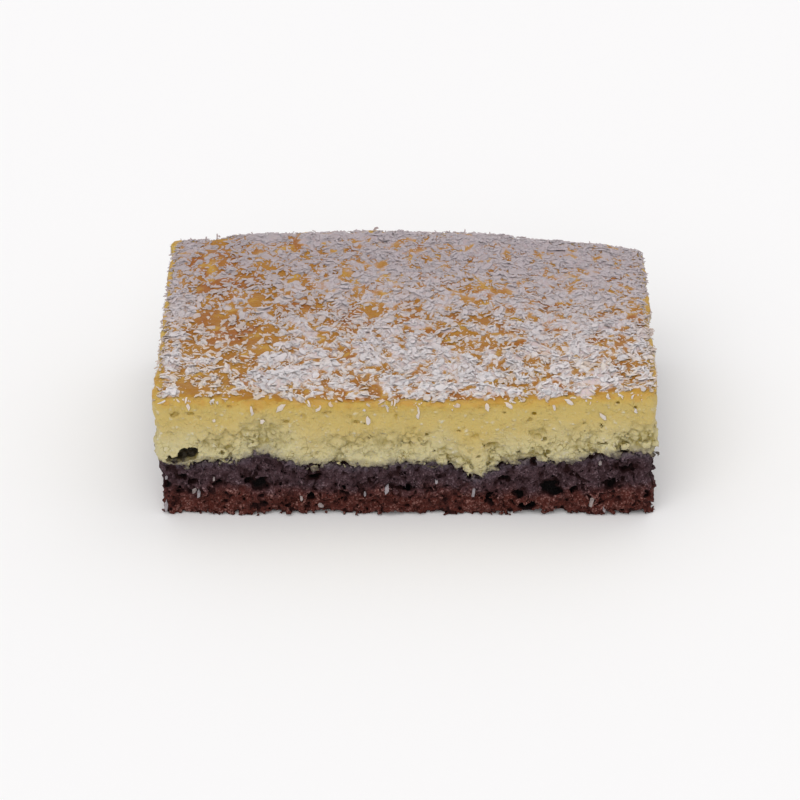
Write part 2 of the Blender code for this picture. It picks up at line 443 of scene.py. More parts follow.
def main_shell(points: Array, quads: Array) -> tuple[Array, Array]:
    """Keep the largest joined part of a surface, without loose specks and closed-in holes.

    Args:
        points: The surface's points.
        quads: The four point numbers of every quad.

    Returns:
        The points and quads that stay.
    """
    labels = np.arange(len(points))
    while True:
        lowest = labels[quads].min(axis=1)
        spread = labels.copy()
        np.minimum.at(spread, quads.ravel(), np.repeat(lowest, 4))
        spread = spread[spread]
        if np.array_equal(spread, labels):
            break
        labels = spread
    largest = np.bincount(labels).argmax()
    kept = labels == largest
    renumbered = np.cumsum(kept) - 1
    return points[kept], renumbered[quads[kept[quads[:, 0]]]]


# Meshes


def make_piece(
    name: str,
    points: Array,
    faces: Sequence,
    readings: dict[str, Array] | None = None,
) -> bpy.types.Object:
    """Make a mesh object.

    Args:
        name: The piece's name.
        points: The points, in millimetres.
        faces: The point numbers of every face.
        readings: Values kept with the points for the finish to read.

    Returns:
        The new object.
    """
    mesh = bpy.data.meshes.new(name)
    corners = (points * MM).tolist()
    mesh.from_pydata(corners, [], faces.tolist() if isinstance(faces, Array) else faces)
    mesh.update()
    piece = bpy.data.objects.new(name, mesh)
    bpy.context.scene.collection.objects.link(piece)
    for key, values in (readings or {}).items():
        keep_reading(piece, key, values)
    return piece


def keep_reading(piece: bpy.types.Object, key: str, values: Array) -> None:
    """Store one value a point on a piece, under a name."""
    stored = piece.data.attributes.new(key, "FLOAT", "POINT")
    stored.data.foreach_set("value", np.ascontiguousarray(values, np.float32))


def piece_points(piece: bpy.types.Object) -> Array:
    """Read a piece's points, in millimetres."""
    points = np.empty(len(piece.data.vertices) * 3, np.float32)
    piece.data.vertices.foreach_get("co", points)
    return points.reshape(-1, 3) / MM


def thin_out(piece: bpy.types.Object, triangles: int) -> None:
    """Merge the flattest faces of a piece until about that many triangles are left."""
    piece.data.calc_loop_triangles()
    now = len(piece.data.loop_triangles)
    if now <= triangles:
        return
    modifier = piece.modifiers.new("thin_out", "DECIMATE")
    modifier.ratio = triangles / now
    graph = bpy.context.evaluated_depsgraph_get()
    made = bpy.data.meshes.new_from_object(piece.evaluated_get(graph))
    piece.modifiers.clear()
    old = piece.data
    made.name = old.name
    piece.data = made
    bpy.data.meshes.remove(old)


# Finishes


class Board:
    """A material's node board, with short ways to add what the finishes share."""

    # Painted shade that greys the top towards the back: where it starts and ends along y, and its most
    BACK_SHADE_START = -36.0
    BACK_SHADE_END = 26.0
    BACK_SHADE_MOST = 0.85

    def __init__(self, name: str) -> None:
        """Start a material with its shader."""
        self.material = bpy.data.materials.new(name)
        self.material.use_nodes = True
        self.nodes = self.material.node_tree.nodes
        self.links = self.material.node_tree.links
        self.shader = self.nodes["Principled BSDF"]
        self.places = self.nodes.new("ShaderNodeTexCoord").outputs["Object"]
        self.painted: Socket | None = None

    def set(self, **values: float | tuple) -> None:
        """Set the shader's own sockets, named with underscores for spaces."""
        for name, value in values.items():
            self.shader.inputs[name.replace("_", " ")].default_value = value

    def reading(self, key: str) -> Socket:
        """Read a value kept with the points."""
        node = self.nodes.new("ShaderNodeAttribute")
        node.attribute_name = key
        return node.outputs["Fac"]

    def mottle(self, size: float, detail: float = 2.0, stretch: Triple = (1, 1, 1)) -> Socket:
        """Add smooth noise.

        Args:
            size: The size of its spots, in millimetres.
            detail: How much finer noise is added.
            stretch: How much longer the spots are along each axis.

        Returns:
            The noise, between 0 and 1.
        """
        mapping = self.nodes.new("ShaderNodeMapping")
        mapping.inputs["Scale"].default_value = [1 / (size * MM * share) for share in stretch]
        self.links.new(self.places, mapping.inputs["Vector"])
        node = self.nodes.new("ShaderNodeTexNoise")
        node.inputs["Scale"].default_value = 1.0
        node.inputs["Detail"].default_value = detail
        self.links.new(mapping.outputs["Vector"], node.inputs["Vector"])
        return node.outputs["Fac"]

    def wandering(self, size: float, amount: float) -> Socket:
        """Shift the places by noise.

        Args:
            size: The size of the noise's spots, in millimetres.
            amount: About how far the places move, in millimetres.

        Returns:
            The shifted places.
        """
        node = self.mottle(size, 2.0).node
        centred = self.nodes.new("ShaderNodeVectorMath")
        centred.operation = "SUBTRACT"
        centred.inputs[1].default_value = (0.5, 0.5, 0.5)
        self.links.new(node.outputs["Color"], centred.inputs[0])
        moved = self.nodes.new("ShaderNodeVectorMath")
        moved.operation = "MULTIPLY_ADD"
        moved.inputs[1].default_value = [2 * amount * MM] * 3
        self.links.new(centred.outputs["Vector"], moved.inputs[0])
        self.links.new(self.places, moved.inputs[2])
        return moved.outputs["Vector"]

    def cells(self, size: float, places: Socket, feature: str = "F1") -> Socket:
        """Add cells.

        Args:
            size: The size of a cell, in millimetres.
            places: The places that the cells are laid over.
            feature: "F1" for the distance to the nearest middle, "DISTANCE_TO_EDGE" for the
                distance to the border between two cells.

        Returns:
            The distance, as a share of the size.
        """
        mapping = self.nodes.new("ShaderNodeMapping")
        mapping.inputs["Scale"].default_value = [1 / (size * MM)] * 3
        self.links.new(places, mapping.inputs["Vector"])
        node = self.nodes.new("ShaderNodeTexVoronoi")
        node.feature = feature
        node.inputs["Scale"].default_value = 1.0
        self.links.new(mapping.outputs["Vector"], node.inputs["Vector"])
        return node.outputs["Distance"]

    def math(self, operation: str, first: Socket | float, second: Socket | float) -> Socket:
        """Join two values, each a socket or a number, by a named operation."""
        node = self.nodes.new("ShaderNodeMath")
        node.operation = operation
        for socket, value in zip(node.inputs, (first, second)):
            if isinstance(value, Socket):
                self.links.new(value, socket)
            else:
                socket.default_value = value
        return node.outputs["Value"]

    def stirred(self, value: Socket, mottle: Socket, amount: float) -> Socket:
        """Shift a value up and down by noise, by at most about half the amount."""
        return self.math("ADD", value, self.math("MULTIPLY", self.math("SUBTRACT", mottle, 0.5), amount))

    def band(self, value: Socket, low: float, high: float) -> Socket:
        """Turn a value into a share: 0 at low and 1 at high, eased between."""
        node = self.nodes.new("ShaderNodeMapRange")
        node.interpolation_type = "SMOOTHSTEP"
        if low > high:
            node.inputs["To Min"].default_value, node.inputs["To Max"].default_value = 1.0, 0.0
            low, high = high, low
        node.inputs["From Min"].default_value = low
        node.inputs["From Max"].default_value = high
        self.links.new(value, node.inputs["Value"])
        return node.outputs["Result"]

    def ragged(
        self,
        value: Socket,
        low: float,
        high: float,
        spot: float,
        stir: float,
        detail: float = 3.0,
    ) -> Socket:
        """Turn a value into a share with a ragged border.

        Args:
            value: The value.
            low: Where the share is 0.
            high: Where it is 1.
            spot: The size of the border's bays, in millimetres.
            stir: How much the value is stirred there.
            detail: How much finer noise is in the border.

        Returns:
            The share.
        """
        return self.band(self.stirred(value, self.mottle(spot, detail), stir), low, high)

    def mix(self, share: Socket, first: Paint, second: Paint) -> Socket:
        """Blend two colours.

        Args:
            share: A socket, 0 for the first colour and 1 for the second.
            first: A colour or a socket.
            second: A colour or a socket.

        Returns:
            The blended colour.
        """
        node = self.nodes.new("ShaderNodeMix")
        node.data_type = "RGBA"
        self.links.new(share, node.inputs["Factor"])
        for name, value in (("A", first), ("B", second)):
            socket = next(s for s in node.inputs if s.name == name and s.type == "RGBA")
            if isinstance(value, Socket):
                self.links.new(value, socket)
            else:
                socket.default_value = (*value, 1)
        return next(s for s in node.outputs if s.type == "RGBA")

    def paint(self, colour: Socket) -> None:
        """Paint the whole surface."""
        self.painted = colour
        self.links.new(colour, self.shader.inputs["Base Color"])

    def lay(self, share: Socket, colour: Paint, amount: float = 1.0) -> None:
        """Lay a colour over what is painted already.

        Args:
            share: Where it lies, 0 for nowhere and 1 for all of it.
            colour: The colour.
            amount: The most that it may hide.
        """
        if amount < 1:
            share = self.math("MULTIPLY", share, amount)
        self.paint(self.mix(share, self.painted, colour))

    def gloss(self, share: Socket, rough_low: float, rough_high: float) -> None:
        """Vary the roughness between two values by a share."""
        span = rough_high - rough_low
        value = self.math("ADD", self.math("MULTIPLY", share, span), rough_low)
        self.links.new(value, self.shader.inputs["Roughness"])

    def back_shade_share(self) -> Socket:
        """Give the share of the painted back shade, which grows from the front to the back."""
        node = self.nodes.new("ShaderNodeSeparateXYZ")
        self.links.new(self.places, node.inputs["Vector"])
        back = self.band(node.outputs["Y"], self.BACK_SHADE_START * MM, self.BACK_SHADE_END * MM)
        return self.math("MULTIPLY", back, self.BACK_SHADE_MOST)

    def soft_normal(self, upward: float) -> Socket:
        """Turn the surface's direction upward, as light does that wanders through thin white flakes.

        Args:
            upward: How much of straight up is added.

        Returns:
            The turned direction.
        """
        node = self.nodes.new("ShaderNodeVectorMath")
        node.operation = "ADD"
        node.inputs[1].default_value = (0, 0, upward)
        self.links.new(self.nodes.new("ShaderNodeNewGeometry").outputs["Normal"], node.inputs[0])
        unit = self.nodes.new("ShaderNodeVectorMath")
        unit.operation = "NORMALIZE"
        self.links.new(node.outputs["Vector"], unit.inputs[0])
        return unit.outputs["Vector"]

    def bump(self, height: Socket, depth: float, upward: float = 0.0) -> None:
        """Raise the surface by a height between 0 and 1.

        Args:
            height: The height.
            depth: The height's scale, in millimetres.
            upward: How much of straight up is added to the surface's direction.
        """
        node = self.nodes.new("ShaderNodeBump")
        node.inputs["Strength"].default_value = 1.0
        node.inputs["Distance"].default_value = depth * MM
        self.links.new(height, node.inputs["Height"])
        if upward:
            self.links.new(self.soft_normal(upward), node.inputs["Normal"])
        self.links.new(node.outputs["Normal"], self.shader.inputs["Normal"])


@dataclass(frozen=True)
class CocoaFinish:
    """Dark cocoa crumb: nearly black and cool above, red-brown towards the baked bottom."""

    upper: Triple = (0.064, 0.034, 0.040)
    lower: Triple = (0.088, 0.021, 0.015)
    # Painted highlight: the lighter colours laid on the crumb tips, above and below
    upper_crumb_highlight: Triple = (0.215, 0.145, 0.165)
    lower_crumb_highlight: Triple = (0.370, 0.185, 0.160)
    damp: Triple = (0.100, 0.076, 0.098)
    haze: Triple = (0.190, 0.155, 0.160)
    # Painted shade: near-black for the crevices, black for the deepest pores
    gap: Triple = (0.018, 0.005, 0.005)
    pit_shade: Triple = (0.003, 0.002, 0.002)

    def make(self) -> bpy.types.Material:
        """Build the material."""
        board = Board("cocoa_crumb")
        rise, pit, below = (board.reading(key) for key in ("rise", "pit", "below"))
        above = board.ragged(rise, 3.8, 7.8, spot=5.0, stir=6.5)
        grain = board.cells(0.52, board.wandering(0.6, 0.30))
        # Painted highlight: the middles of fine cells away from the pits are lightened, in patches
        lit = board.math("MULTIPLY", board.band(grain, 0.62, 0.14), board.band(pit, 0.75, -0.35))
        lit = board.math("MULTIPLY", lit, board.band(board.mottle(1.7, 3), 0.32, 0.60))
        board.paint(board.mix(above, self.lower, self.upper))
        board.lay(board.ragged(below, 2.6, 0.2, spot=1.6, stir=3.0), self.damp, amount=0.8)
        board.lay(lit, board.mix(above, self.lower_crumb_highlight, self.upper_crumb_highlight))
        board.lay(board.ragged(below, 1.3, -0.2, spot=1.0, stir=2.6, detail=4), self.haze, amount=0.7)
        # Painted shade: crevices and pores darken with their depth behind the wall, and the deepest go
        # black
        board.lay(board.ragged(pit, 0.15, 0.95, spot=0.5, stir=0.8, detail=2), self.gap)
        board.lay(board.band(pit, 0.9, 1.7), self.pit_shade)
        board.gloss(board.mottle(0.9, 2), 0.55, 0.85)
        fine = board.math("SUBTRACT", board.mottle(0.45, 3), board.math("MULTIPLY", grain, 0.9))
        board.bump(fine, 0.50)
        board.set(Specular_IOR_Level=0.1)
        return board.material


@dataclass(frozen=True)
class CurdFinish:
    """Moist yellow coconut crumb: paler and greener below, golden under the browned top."""

    low: Triple = (0.535, 0.475, 0.255)
    high: Triple = (0.520, 0.390, 0.120)
    golden: Triple = (0.525, 0.345, 0.062)
    orange: Triple = (0.490, 0.245, 0.032)
    # Lighter lump colour: partly paler curd, partly painted highlight on the lumps
    lump: Triple = (0.640, 0.595, 0.440)
    # Painted shade: dull olive-brown for the crevices between curds
    gap: Triple = (0.245, 0.190, 0.045)
    # Painted shade: saturated ochre in the pits, duller olive lower down, near black in the deepest
    # cavities
    pit_shade: Triple = (0.560, 0.385, 0.020)
    low_pit_shade: Triple = (0.370, 0.290, 0.070)
    deep_pit_shade: Triple = (0.030, 0.022, 0.010)
    smear: Triple = (0.270, 0.240, 0.165)
    stain: Triple = (0.090, 0.070, 0.055)
    squat: Triple = (1.0, 1.0, 0.7)
    upright: Triple = (1.0, 1.0, 3.5)

    def make(self) -> bpy.types.Material:
        """Build the material."""
        board = Board("coconut_curd")
        rise, depth, pit, split = (board.reading(key) for key in ("rise", "depth", "pit", "split"))
        board.paint(board.mix(board.ragged(rise, 1.5, 10.5, spot=6.0, stir=6.0), self.low, self.high))
        # Lump middles in pale patches are lightened: partly paler curd, partly painted highlight
        lump = board.band(board.cells(1.1, board.wandering(1.0, 0.5)), 0.50, 0.12)
        pale = board.band(board.mottle(2.2, 3, self.squat), 0.45, 0.72)
        board.lay(board.math("MULTIPLY", lump, pale), self.lump, amount=0.9)
        rim = board.stirred(depth, board.mottle(3.0, 4, self.squat), 4.0)
        board.lay(board.band(rim, 3.0, 0.5), self.golden, amount=0.85)
        board.lay(board.ragged(depth, 1.5, -0.4, spot=2.6, stir=6.0), self.orange, amount=0.62)
        # Painted shade: cell borders in the broken lower part, and the splits between curds, are darkened
        border = board.cells(1.25, board.wandering(1.2, 0.55), "DISTANCE_TO_EDGE")
        broken = board.band(board.mottle(2.6, 2), 0.48, 0.66)
        border = board.math("MULTIPLY", board.band(border, 0.10, 0.0), broken)
        border = board.math("MULTIPLY", border, board.ragged(rise, 9.5, 2.0, spot=5.0, stir=6.0, detail=2))
        board.lay(board.math("MAXIMUM", border, split), self.gap)
        # Painted shade: pits turn saturated ochre, duller olive lower down
        pit_shade = board.mix(board.band(rise, 5.5, 9.0), self.low_pit_shade, self.pit_shade)
        board.lay(board.ragged(pit, 0.48, 1.05, spot=0.8, stir=0.3, detail=2), pit_shade)
        board.lay(board.ragged(rise, 2.1, -0.1, spot=1.3, stir=4.0), self.smear, amount=0.8)
        board.lay(board.ragged(rise, 0.7, -0.5, spot=0.9, stir=3.0), self.stain)
        # Painted shade: the deepest cavities go near black
        board.lay(board.band(pit, 1.1, 2.0), self.deep_pit_shade)
        board.gloss(board.mottle(1.2, 2), 0.38, 0.62)
        streaks = board.math("MULTIPLY", board.mottle(0.9, 2, self.upright), 0.7)
        fine = board.math("ADD", board.mottle(0.5, 3), streaks)
        board.bump(board.math("ADD", fine, board.math("MULTIPLY", lump, 0.5)), 0.30)
        board.set(
            Subsurface_Weight=0.22,
            Subsurface_Radius=(1.0, 0.7, 0.25),
            Subsurface_Scale=0.7 * MM,
            Specular_IOR_Level=0.4,
        )
        return board.material


@dataclass(frozen=True)
class BrownedFinish:
    """The sticky browned top: ochre with burnt orange patches, pale with coconut dust in places, the dust
    greyer towards the back as painted shade.
    """

    ochre: Triple = (0.355, 0.152, 0.008)
    burnt: Triple = (0.295, 0.092, 0.006)
    gold: Triple = (0.480, 0.265, 0.032)
    honey: Triple = (0.530, 0.365, 0.095)
    film: Triple = (0.500, 0.295, 0.120)
    dust: Triple = (0.640, 0.540, 0.525)
    # Painted shade: the grey-lilac that the dust turns towards the back
    far: Triple = (0.385, 0.322, 0.345)

    def make(self) -> bpy.types.Material:
        """Build the material."""
        board = Board("browned_top")
        dust = board.reading("dust")
        brink = board.stirred(board.reading("edge"), board.mottle(2.4, 3), 3.0)
        board.paint(board.mix(board.band(board.mottle(8.0, 4), 0.42, 0.68), self.ochre, self.burnt))
        board.lay(board.band(board.mottle(3.6, 4), 0.50, 0.72), self.gold)
        board.lay(board.band(brink, -1.9, -0.4), self.gold)
        board.lay(board.band(brink, -0.7, 0.4), self.honey)
        board.lay(board.ragged(dust, 0.08, 0.24, spot=1.0, stir=0.26), self.film, amount=0.42)
        # The dust greys towards the back: painted shade
        dust_and_back_shade = board.mix(board.back_shade_share(), self.dust, self.far)
        board.lay(board.ragged(dust, 0.18, 0.36, spot=1.2, stir=0.34), dust_and_back_shade, amount=0.95)
        board.gloss(board.mottle(2.0, 3), 0.32, 0.58)
        board.bump(board.math("ADD", board.mottle(0.7, 3), board.mottle(2.2, 2)), 0.22)
        board.set(
            Subsurface_Weight=0.15,
            Subsurface_Radius=(1.0, 0.5, 0.15),
            Subsurface_Scale=0.8 * MM,
            Specular_IOR_Level=0.25,
            Coat_Weight=0.06,
            Coat_Roughness=0.25,
        )
        return board.material


@dataclass(frozen=True)
class CoconutFinish:
    """Dry white coconut, faintly lilac in some flakes and creamy pink in others, greyer towards the back as
    painted shade.
    """

    name: str = "coconut_flakes"
    cool: Triple = (0.870, 0.762, 0.755)
    warm: Triple = (0.885, 0.705, 0.585)
    clear: Triple = (0.780, 0.650, 0.610)
    # Warm tint for flakes lying low on the browned skin: partly soaked, partly painted amber bounce light
    sunk_and_bounce_light: Triple = (0.640, 0.450, 0.320)
    # Painted shade: the grey-lilac that the flakes turn towards the back
    far: Triple = (0.385, 0.322, 0.345)
    through: float = 0.75

    def make(self) -> bpy.types.Material:
        """Build the material."""
        board = Board(self.name)
        tone = board.reading("tone")
        low = board.ragged(board.reading("lift"), 0.40, 0.05, spot=1.4, stir=0.5, detail=2)
        # Tone is random, and warmer where cover is thin: partly soaked flakes, partly painted amber bounce
        # light
        board.paint(board.mix(board.band(tone, 0.25, 1.0), self.cool, self.warm))
        board.lay(board.band(board.mottle(0.9, 3), 0.58, 0.80), self.clear)
        # Flakes lying low on the skin are tinted warm: partly soaked, partly painted amber bounce light
        board.lay(low, self.sunk_and_bounce_light, amount=0.72)
        # Painted shade: the flakes grey towards the back
        board.lay(board.back_shade_share(), self.far)
        board.gloss(tone, 0.45, 0.68)
        board.bump(board.mottle(0.4, 3), 0.03, upward=2.4)
        board.set(
            Subsurface_Weight=self.through,
            Subsurface_Radius=(1.0, 0.9, 0.85),
            Subsurface_Scale=0.4 * MM,
            Specular_IOR_Level=0.2,
        )
        return board.material


@dataclass(frozen=True)
class FloorFinish:
    """A plain pale studio floor."""

    pale: Triple = (0.940, 0.940, 0.940)
    shade: Triple = (0.930, 0.930, 0.930)

    def make(self) -> bpy.types.Material:
        """Build the material."""
        board = Board("studio_floor")
        board.paint(board.mix(board.mottle(300.0, 2), self.pale, self.shade))
        board.set(Roughness=0.9, Specular_IOR_Level=0.1)
        return board.material


# The two layers


@dataclass
class Bubble:
    """An open bubble in a cut wall."""

    centre: Triple
    size: Triple


class Side(Enum):
    """The four cut walls, each by its outward direction."""

    FRONT = (0, -1)
    BACK = (0, 1)
    LEFT = (-1, 0)
    RIGHT = (1, 0)

    @property
    def outward(self) -> Array:
        """The direction out of the wall."""
        return np.array((*self.value, 0.0))

    @property
    def along(self) -> Array:
        """The level direction along the wall."""
        return np.array((-self.value[1], self.value[0], 0.0))

    def run(self, shape: CakeShape) -> float:
        """The wall's length."""
        return shape.length if self.value[1] else shape.depth

    def place(self, shape: CakeShape, along: float, height: float, proud: float = 0.0) -> Array:
        """Find a place on the wall.

        Args:
            shape: The cake's outline.
            along: The distance from the wall's middle.
            height: The height above the underside.
            proud: How far out of the wall.

        Returns:
            The place.
        """
        reach = abs(self.value[0]) * shape.length / 2 + abs(self.value[1]) * shape.depth / 2
        return self.outward * (reach + proud) + self.along * along + np.array((0, 0, height))


@dataclass
class CrumbLayer:
    """One layer of the cake, built as a field that is negative inside.

    The bubble depths are the least, the growth with the width and the most.
    """

    heights: CakeHeights
    step: float = 0.3
    band: float = 3.4
    proud_most: float = 2.2
    fade: float = 2.8
    rim_round: float = 0.9
    foot_round: float = 0.4
    foot_gap: float = 0.03
    margin: float = 2.1
    headroom: float = 3.6
    triangles: int = 188_000
    bubble_depths: Triple = (1.4, 0.3, 4.6)
    bubble_gain: Pair = (1.12, 1.2)
    front_bubbles: tuple[Opening, ...] = ()
    bubbles_per_side: int = 9
    bubble_heights: Pair = (3.0, 9.5)
    bubble_widths: Pair = (1.6, 4.2)
    bubble_talls: Pair = (1.2, 2.6)
    bubbles: list[Bubble] = field(default_factory=list)

    name = "layer"
    node = ""
    slot = ""
    seed = 0

    def bubble_deep(self, wide: float) -> float:
        """Give the depth of a bubble of some width: narrow ones are shallow."""
        least, growth, most = self.bubble_depths
        return min(most, least + growth * wide**3)

    def place_bubbles(self) -> None:
        """Open the named bubbles of the front, and scattered ones in the other walls."""
        shape = self.heights.shape
        wider, taller = self.bubble_gain
        for x, z, wide, tall in self.front_bubbles:
            size = (wider * wide, self.bubble_deep(wide), taller * tall)
            self.bubbles.append(Bubble((x, -shape.depth / 2, z), size))
        draws = np.random.default_rng(self.seed)
        for side in (Side.BACK, Side.LEFT, Side.RIGHT):
            for k in range(self.bubbles_per_side):
                share = (k + draws.uniform(0.2, 0.8)) / self.bubbles_per_side - 0.5
                centre = side.place(shape, side.run(shape) * share, draws.uniform(*self.bubble_heights))
                wide, tall = draws.uniform(*self.bubble_widths), draws.uniform(*self.bubble_talls)
                across = np.abs(side.along) * wide + np.abs(side.outward) * self.bubble_deep(wide)
                self.bubbles.append(Bubble(tuple(centre), (across[0], across[1], tall)))

    def bubble_hollows(self, places: Array, wander: Array) -> Array:
        """Measure the depth inside the nearest bubble, with ragged walls.

        Args:
            places: One place a row.
            wander: How far each place is shifted, one row each.

        Returns:
            The depth, negative outside.
        """
        found = np.full(len(places), -1.0, np.float32)
        moved = places + wander
        for bubble in self.bubbles:
            half = np.array(bubble.size, np.float32) / 2
            reach = np.linalg.norm((moved - np.array(bubble.centre, np.float32)) / half, axis=1)
            np.maximum(found, (1 - reach) * half.min(), out=found)
        return found

    def floor_and_roof(self, x: Array, y: Array) -> tuple[Array, Array]:
        """Give the layer's lowest and highest height in every column."""
        raise NotImplementedError

    def inset(self, x: Array) -> Array:
        """Give how far the wall stands back from the cut outline."""
        return np.zeros_like(x)

    def relief(self, places: Array) -> Array:
        """Give how far the crumb stands proud at every place."""
        raise NotImplementedError

    def hollows(self, places: Array) -> Array:
        """Give the depth inside the pores and bubbles."""
        raise NotImplementedError

    def readings(self, points: Array) -> dict[str, Array]:
        """Give the values that the finish reads at every point."""
        raise NotImplementedError

    def finish(self) -> bpy.types.Material:
        """Build the layer's material."""
        raise NotImplementedError

    def stand(self, place: Array) -> float:
        """Measure how far the crumb stands out of the cut outline at a place."""
        return float(self.crag * self.broad.at(place[None])[0] - self.inset(place[:1])[0])

    def fill(self) -> VoxelBlock:
        """Fill the block of field values.

        Returns:
            The block, negative inside the crumb.
        """
        shape = self.heights.shape
        half_x, half_y = shape.length / 2, shape.depth / 2
        x, y = (run.ravel() for run in np.meshgrid((-half_x, 0.0, half_x), (-half_y, 0.0, half_y)))
        floor, roof = self.floor_and_roof(x, y)
        low = (-half_x - self.margin, -half_y - self.margin, floor.min() - self.headroom)
        high = (half_x + self.margin, half_y + self.margin, roof.max() + self.headroom)
        block = VoxelBlock(low, high, self.step)
        x, y = block.columns()
        floor, roof = self.floor_and_roof(x, y)
        wall = shape.wall_distance(x, y) + self.inset(x)
        z = block.runs[2]
        upper = z - roof[:, :, None]
        block.values[:] = soft_max(np.broadcast_to(wall[:, :, None], upper.shape), upper, self.rim_round)
        block.values[:] = soft_max(block.values, floor[:, :, None] - z, self.foot_round)
        near = (block.values > -self.band) & (block.values < self.proud_most)
        near = np.nonzero(near & (wall > -self.band)[:, :, None])
        places = block.places(near)
        fade = np.clip(1.0 + wall[near[0], near[1]] / self.fade, 0, 1)
        crumb = block.values[near] - self.relief(places) * fade
        block.values[near] = np.maximum(crumb, self.hollows(places))
        np.maximum(block.values, (self.foot_gap - z)[None, None, :], out=block.values)
        return block

    def build(self) -> bpy.types.Object:
        """Build the layer and dress it.

        Returns:
            The finished piece.
        """
        self.place_bubbles()
        piece = make_piece(self.name, *main_shell(*self.fill().surface()))
        thin_out(piece, self.triangles)
        for key, values in self.readings(piece_points(piece)).items():
            keep_reading(piece, key, values)
        piece.data.shade_smooth()
        piece.data.materials.append(self.finish())
        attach(piece, BODY)
        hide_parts(self.node)
        return piece


class CadRelief:
    """The broad relief that the solids have on their walls, on a coarse grid in space."""

    STEP = 1.4

    def __init__(self, shape: CakeShape, high: float, size: float, seed: float) -> None:
        """Fill the grid.

        Args:
            shape: The cake's outline.
            high: The greatest height needed.
            size: The size of the lumps.
            seed: The noise's shift.
        """
        self.start = (-shape.length / 2 - 3, -shape.depth / 2 - 3, -1.0)
        ends = (-self.start[0], -self.start[1], high)
        runs = [np.arange(a, b + self.STEP, self.STEP) for a, b in zip(self.start, ends)]
        self.values = rough(*np.meshgrid(*runs, indexing="ij"), size, seed)

    def at(self, places: Array) -> Array:
        """Read the relief."""
        return read_grid(self.values, self.start, self.STEP, places.T)


@dataclass(frozen=True)
class LumpRule:
    """How the lumps of one size shape the crumb."""

    size: float
    uneven: float
    slant: float
    crown: float
    split: float
    split_width: float

    def height(self, grains: Grains, places: Array) -> Array:
        """Give how far the lumps stand out.

        Args:
            grains: The points that the lumps grow around.
            places: One place a row.

        Returns:
            The height at each place.
        """
        middle, gap, kind, face = grains.lumps(places, self.size)
        lump = self.uneven * (kind - 0.5) + self.slant * face + self.crown * crowned(middle)
        return lump - self.split * crevice(gap, self.split_width)


@dataclass
class CocoaSponge(CrumbLayer):
    """The dark lower layer, with open pores and a ragged bottom edge."""

    lap: float = 0.2
    crag: float = 1.1
    crag_size: float = 3.6
    crag_shift: float = 1.9
    set_back: float = 0.5
    even_share: float = 0.4
    chunk: LumpRule = LumpRule(2.5, uneven=0.50, slant=0.60, crown=0.20, split=0.40, split_width=0.13)
    crumb: LumpRule = LumpRule(0.95, uneven=0.45, slant=0.50, crown=0.40, split=0.35, split_width=0.16)
    grain: float = 0.24
    front_bubbles: tuple[Opening, ...] = (
        (-29.8, 7.4, 5.0, 2.9), (-31.8, 7.8, 2.4, 1.6), (-12.5, 4.4, 1.8, 2.8), (-0.6, 6.3, 4.4, 1.5),
        (29.3, 6.7, 3.8, 3.3), (41.2, 7.4, 2.6, 2.2), (24.2, 2.2, 3.4, 2.2), (44.4, 10.8, 2.8, 1.8),
        (-43.5, 7.6, 2.2, 1.3), (-38.2, 7.3, 2.4, 0.9), (-25.0, -0.2, 4.0, 1.2), (-3.0, -0.3, 12.0, 1.4),
        (24.5, -0.2, 7.0, 1.9), (33.0, -0.3, 9.0, 1.3), (47.5, -0.2, 4.0, 1.6), (35.0, 9.0, 1.8, 1.3),
        (-45.5, 8.8, 2.0, 1.2), (16.8, 3.6, 1.9, 1.2), (-18.5, 9.0, 3.0, 1.1), (7.5, 3.2, 1.6, 1.1),
        (34.0, 5.6, 2.6, 1.3), (20.0, 8.6, 2.2, 1.2),
    )

    name = "cocoa_crumb"
    node = "cocoa_sponge"
    slot = "cocoa_sponge"
    seed = 41

    def __post_init__(self) -> None:
        """Draw the noises."""
        self.broad = CadRelief(self.heights.shape, 20.0, self.crag_size, self.crag_shift)
        self.smooth = SmoothNoise(11)
        self.wander = SmoothNoise(12, 3)
        self.chunks = Grains(14)
        self.crumbs = Grains(15)
        self.fine_pores = Grains(16)
        self.pores = Grains(17)

    def floor_and_roof(self, x: Array, y: Array) -> tuple[Array, Array]:
        """Give the arched underside and the seam."""
        return self.heights.underside.at(x, y), self.heights.seam.at(x, y) + self.lap

    def inset(self, x: Array) -> Array:
        """Stand back a little, and more at the left end."""
        return self.set_back * (self.even_share + (1 - self.even_share) * self.heights.shape.left_end(x))

    def relief(self, places: Array) -> Array:
        """Give broad crags, broken chunks, crumbs and fine grain."""
        drift = 0.34 * self.wander.layered(places, 1.0, 2)
        chunk = self.chunk.height(self.chunks, places + 1.6 * drift)
        crumb = self.crumb.height(self.crumbs, places + drift)
        grain = self.smooth.layered(places, 0.9, 2)
        return self.crag * self.broad.at(places) + chunk + crumb + self.grain * grain

    def hollows(self, places: Array) -> Array:
        """Give fine pores, larger ones and the bubbles."""
        wander = 0.42 * self.wander.layered(places + 9, 1.2, 2)
        squashed = (places + wander) * np.array((0.80, 0.80, 1.15), np.float32)
        fine = self.fine_pores.hollows(squashed, 1.15, (0.16, 0.46), 0.75)
        large = self.pores.hollows(squashed, 2.8, (0.40, 1.10), 0.32)
        return np.maximum(np.maximum(fine, large), self.bubble_hollows(places, 1.5 * wander))

    def readings(self, points: Array) -> dict[str, Array]:
        """Give the height, and the depth behind the nearest face."""
        x, y, z = points.T
        wall = self.heights.shape.wall_distance(x, y) + self.inset(x)
        under = z - self.heights.underside.at(x, y)
        pit = np.minimum(self.crag * self.broad.at(points) - wall, 0.2 + 1.5 * under)
        return {"rise": z, "pit": pit, "below": self.heights.seam.at(x, y) - z}

    def finish(self) -> bpy.types.Material:
        """Build the cocoa crumb's material."""
        return CocoaFinish().make()


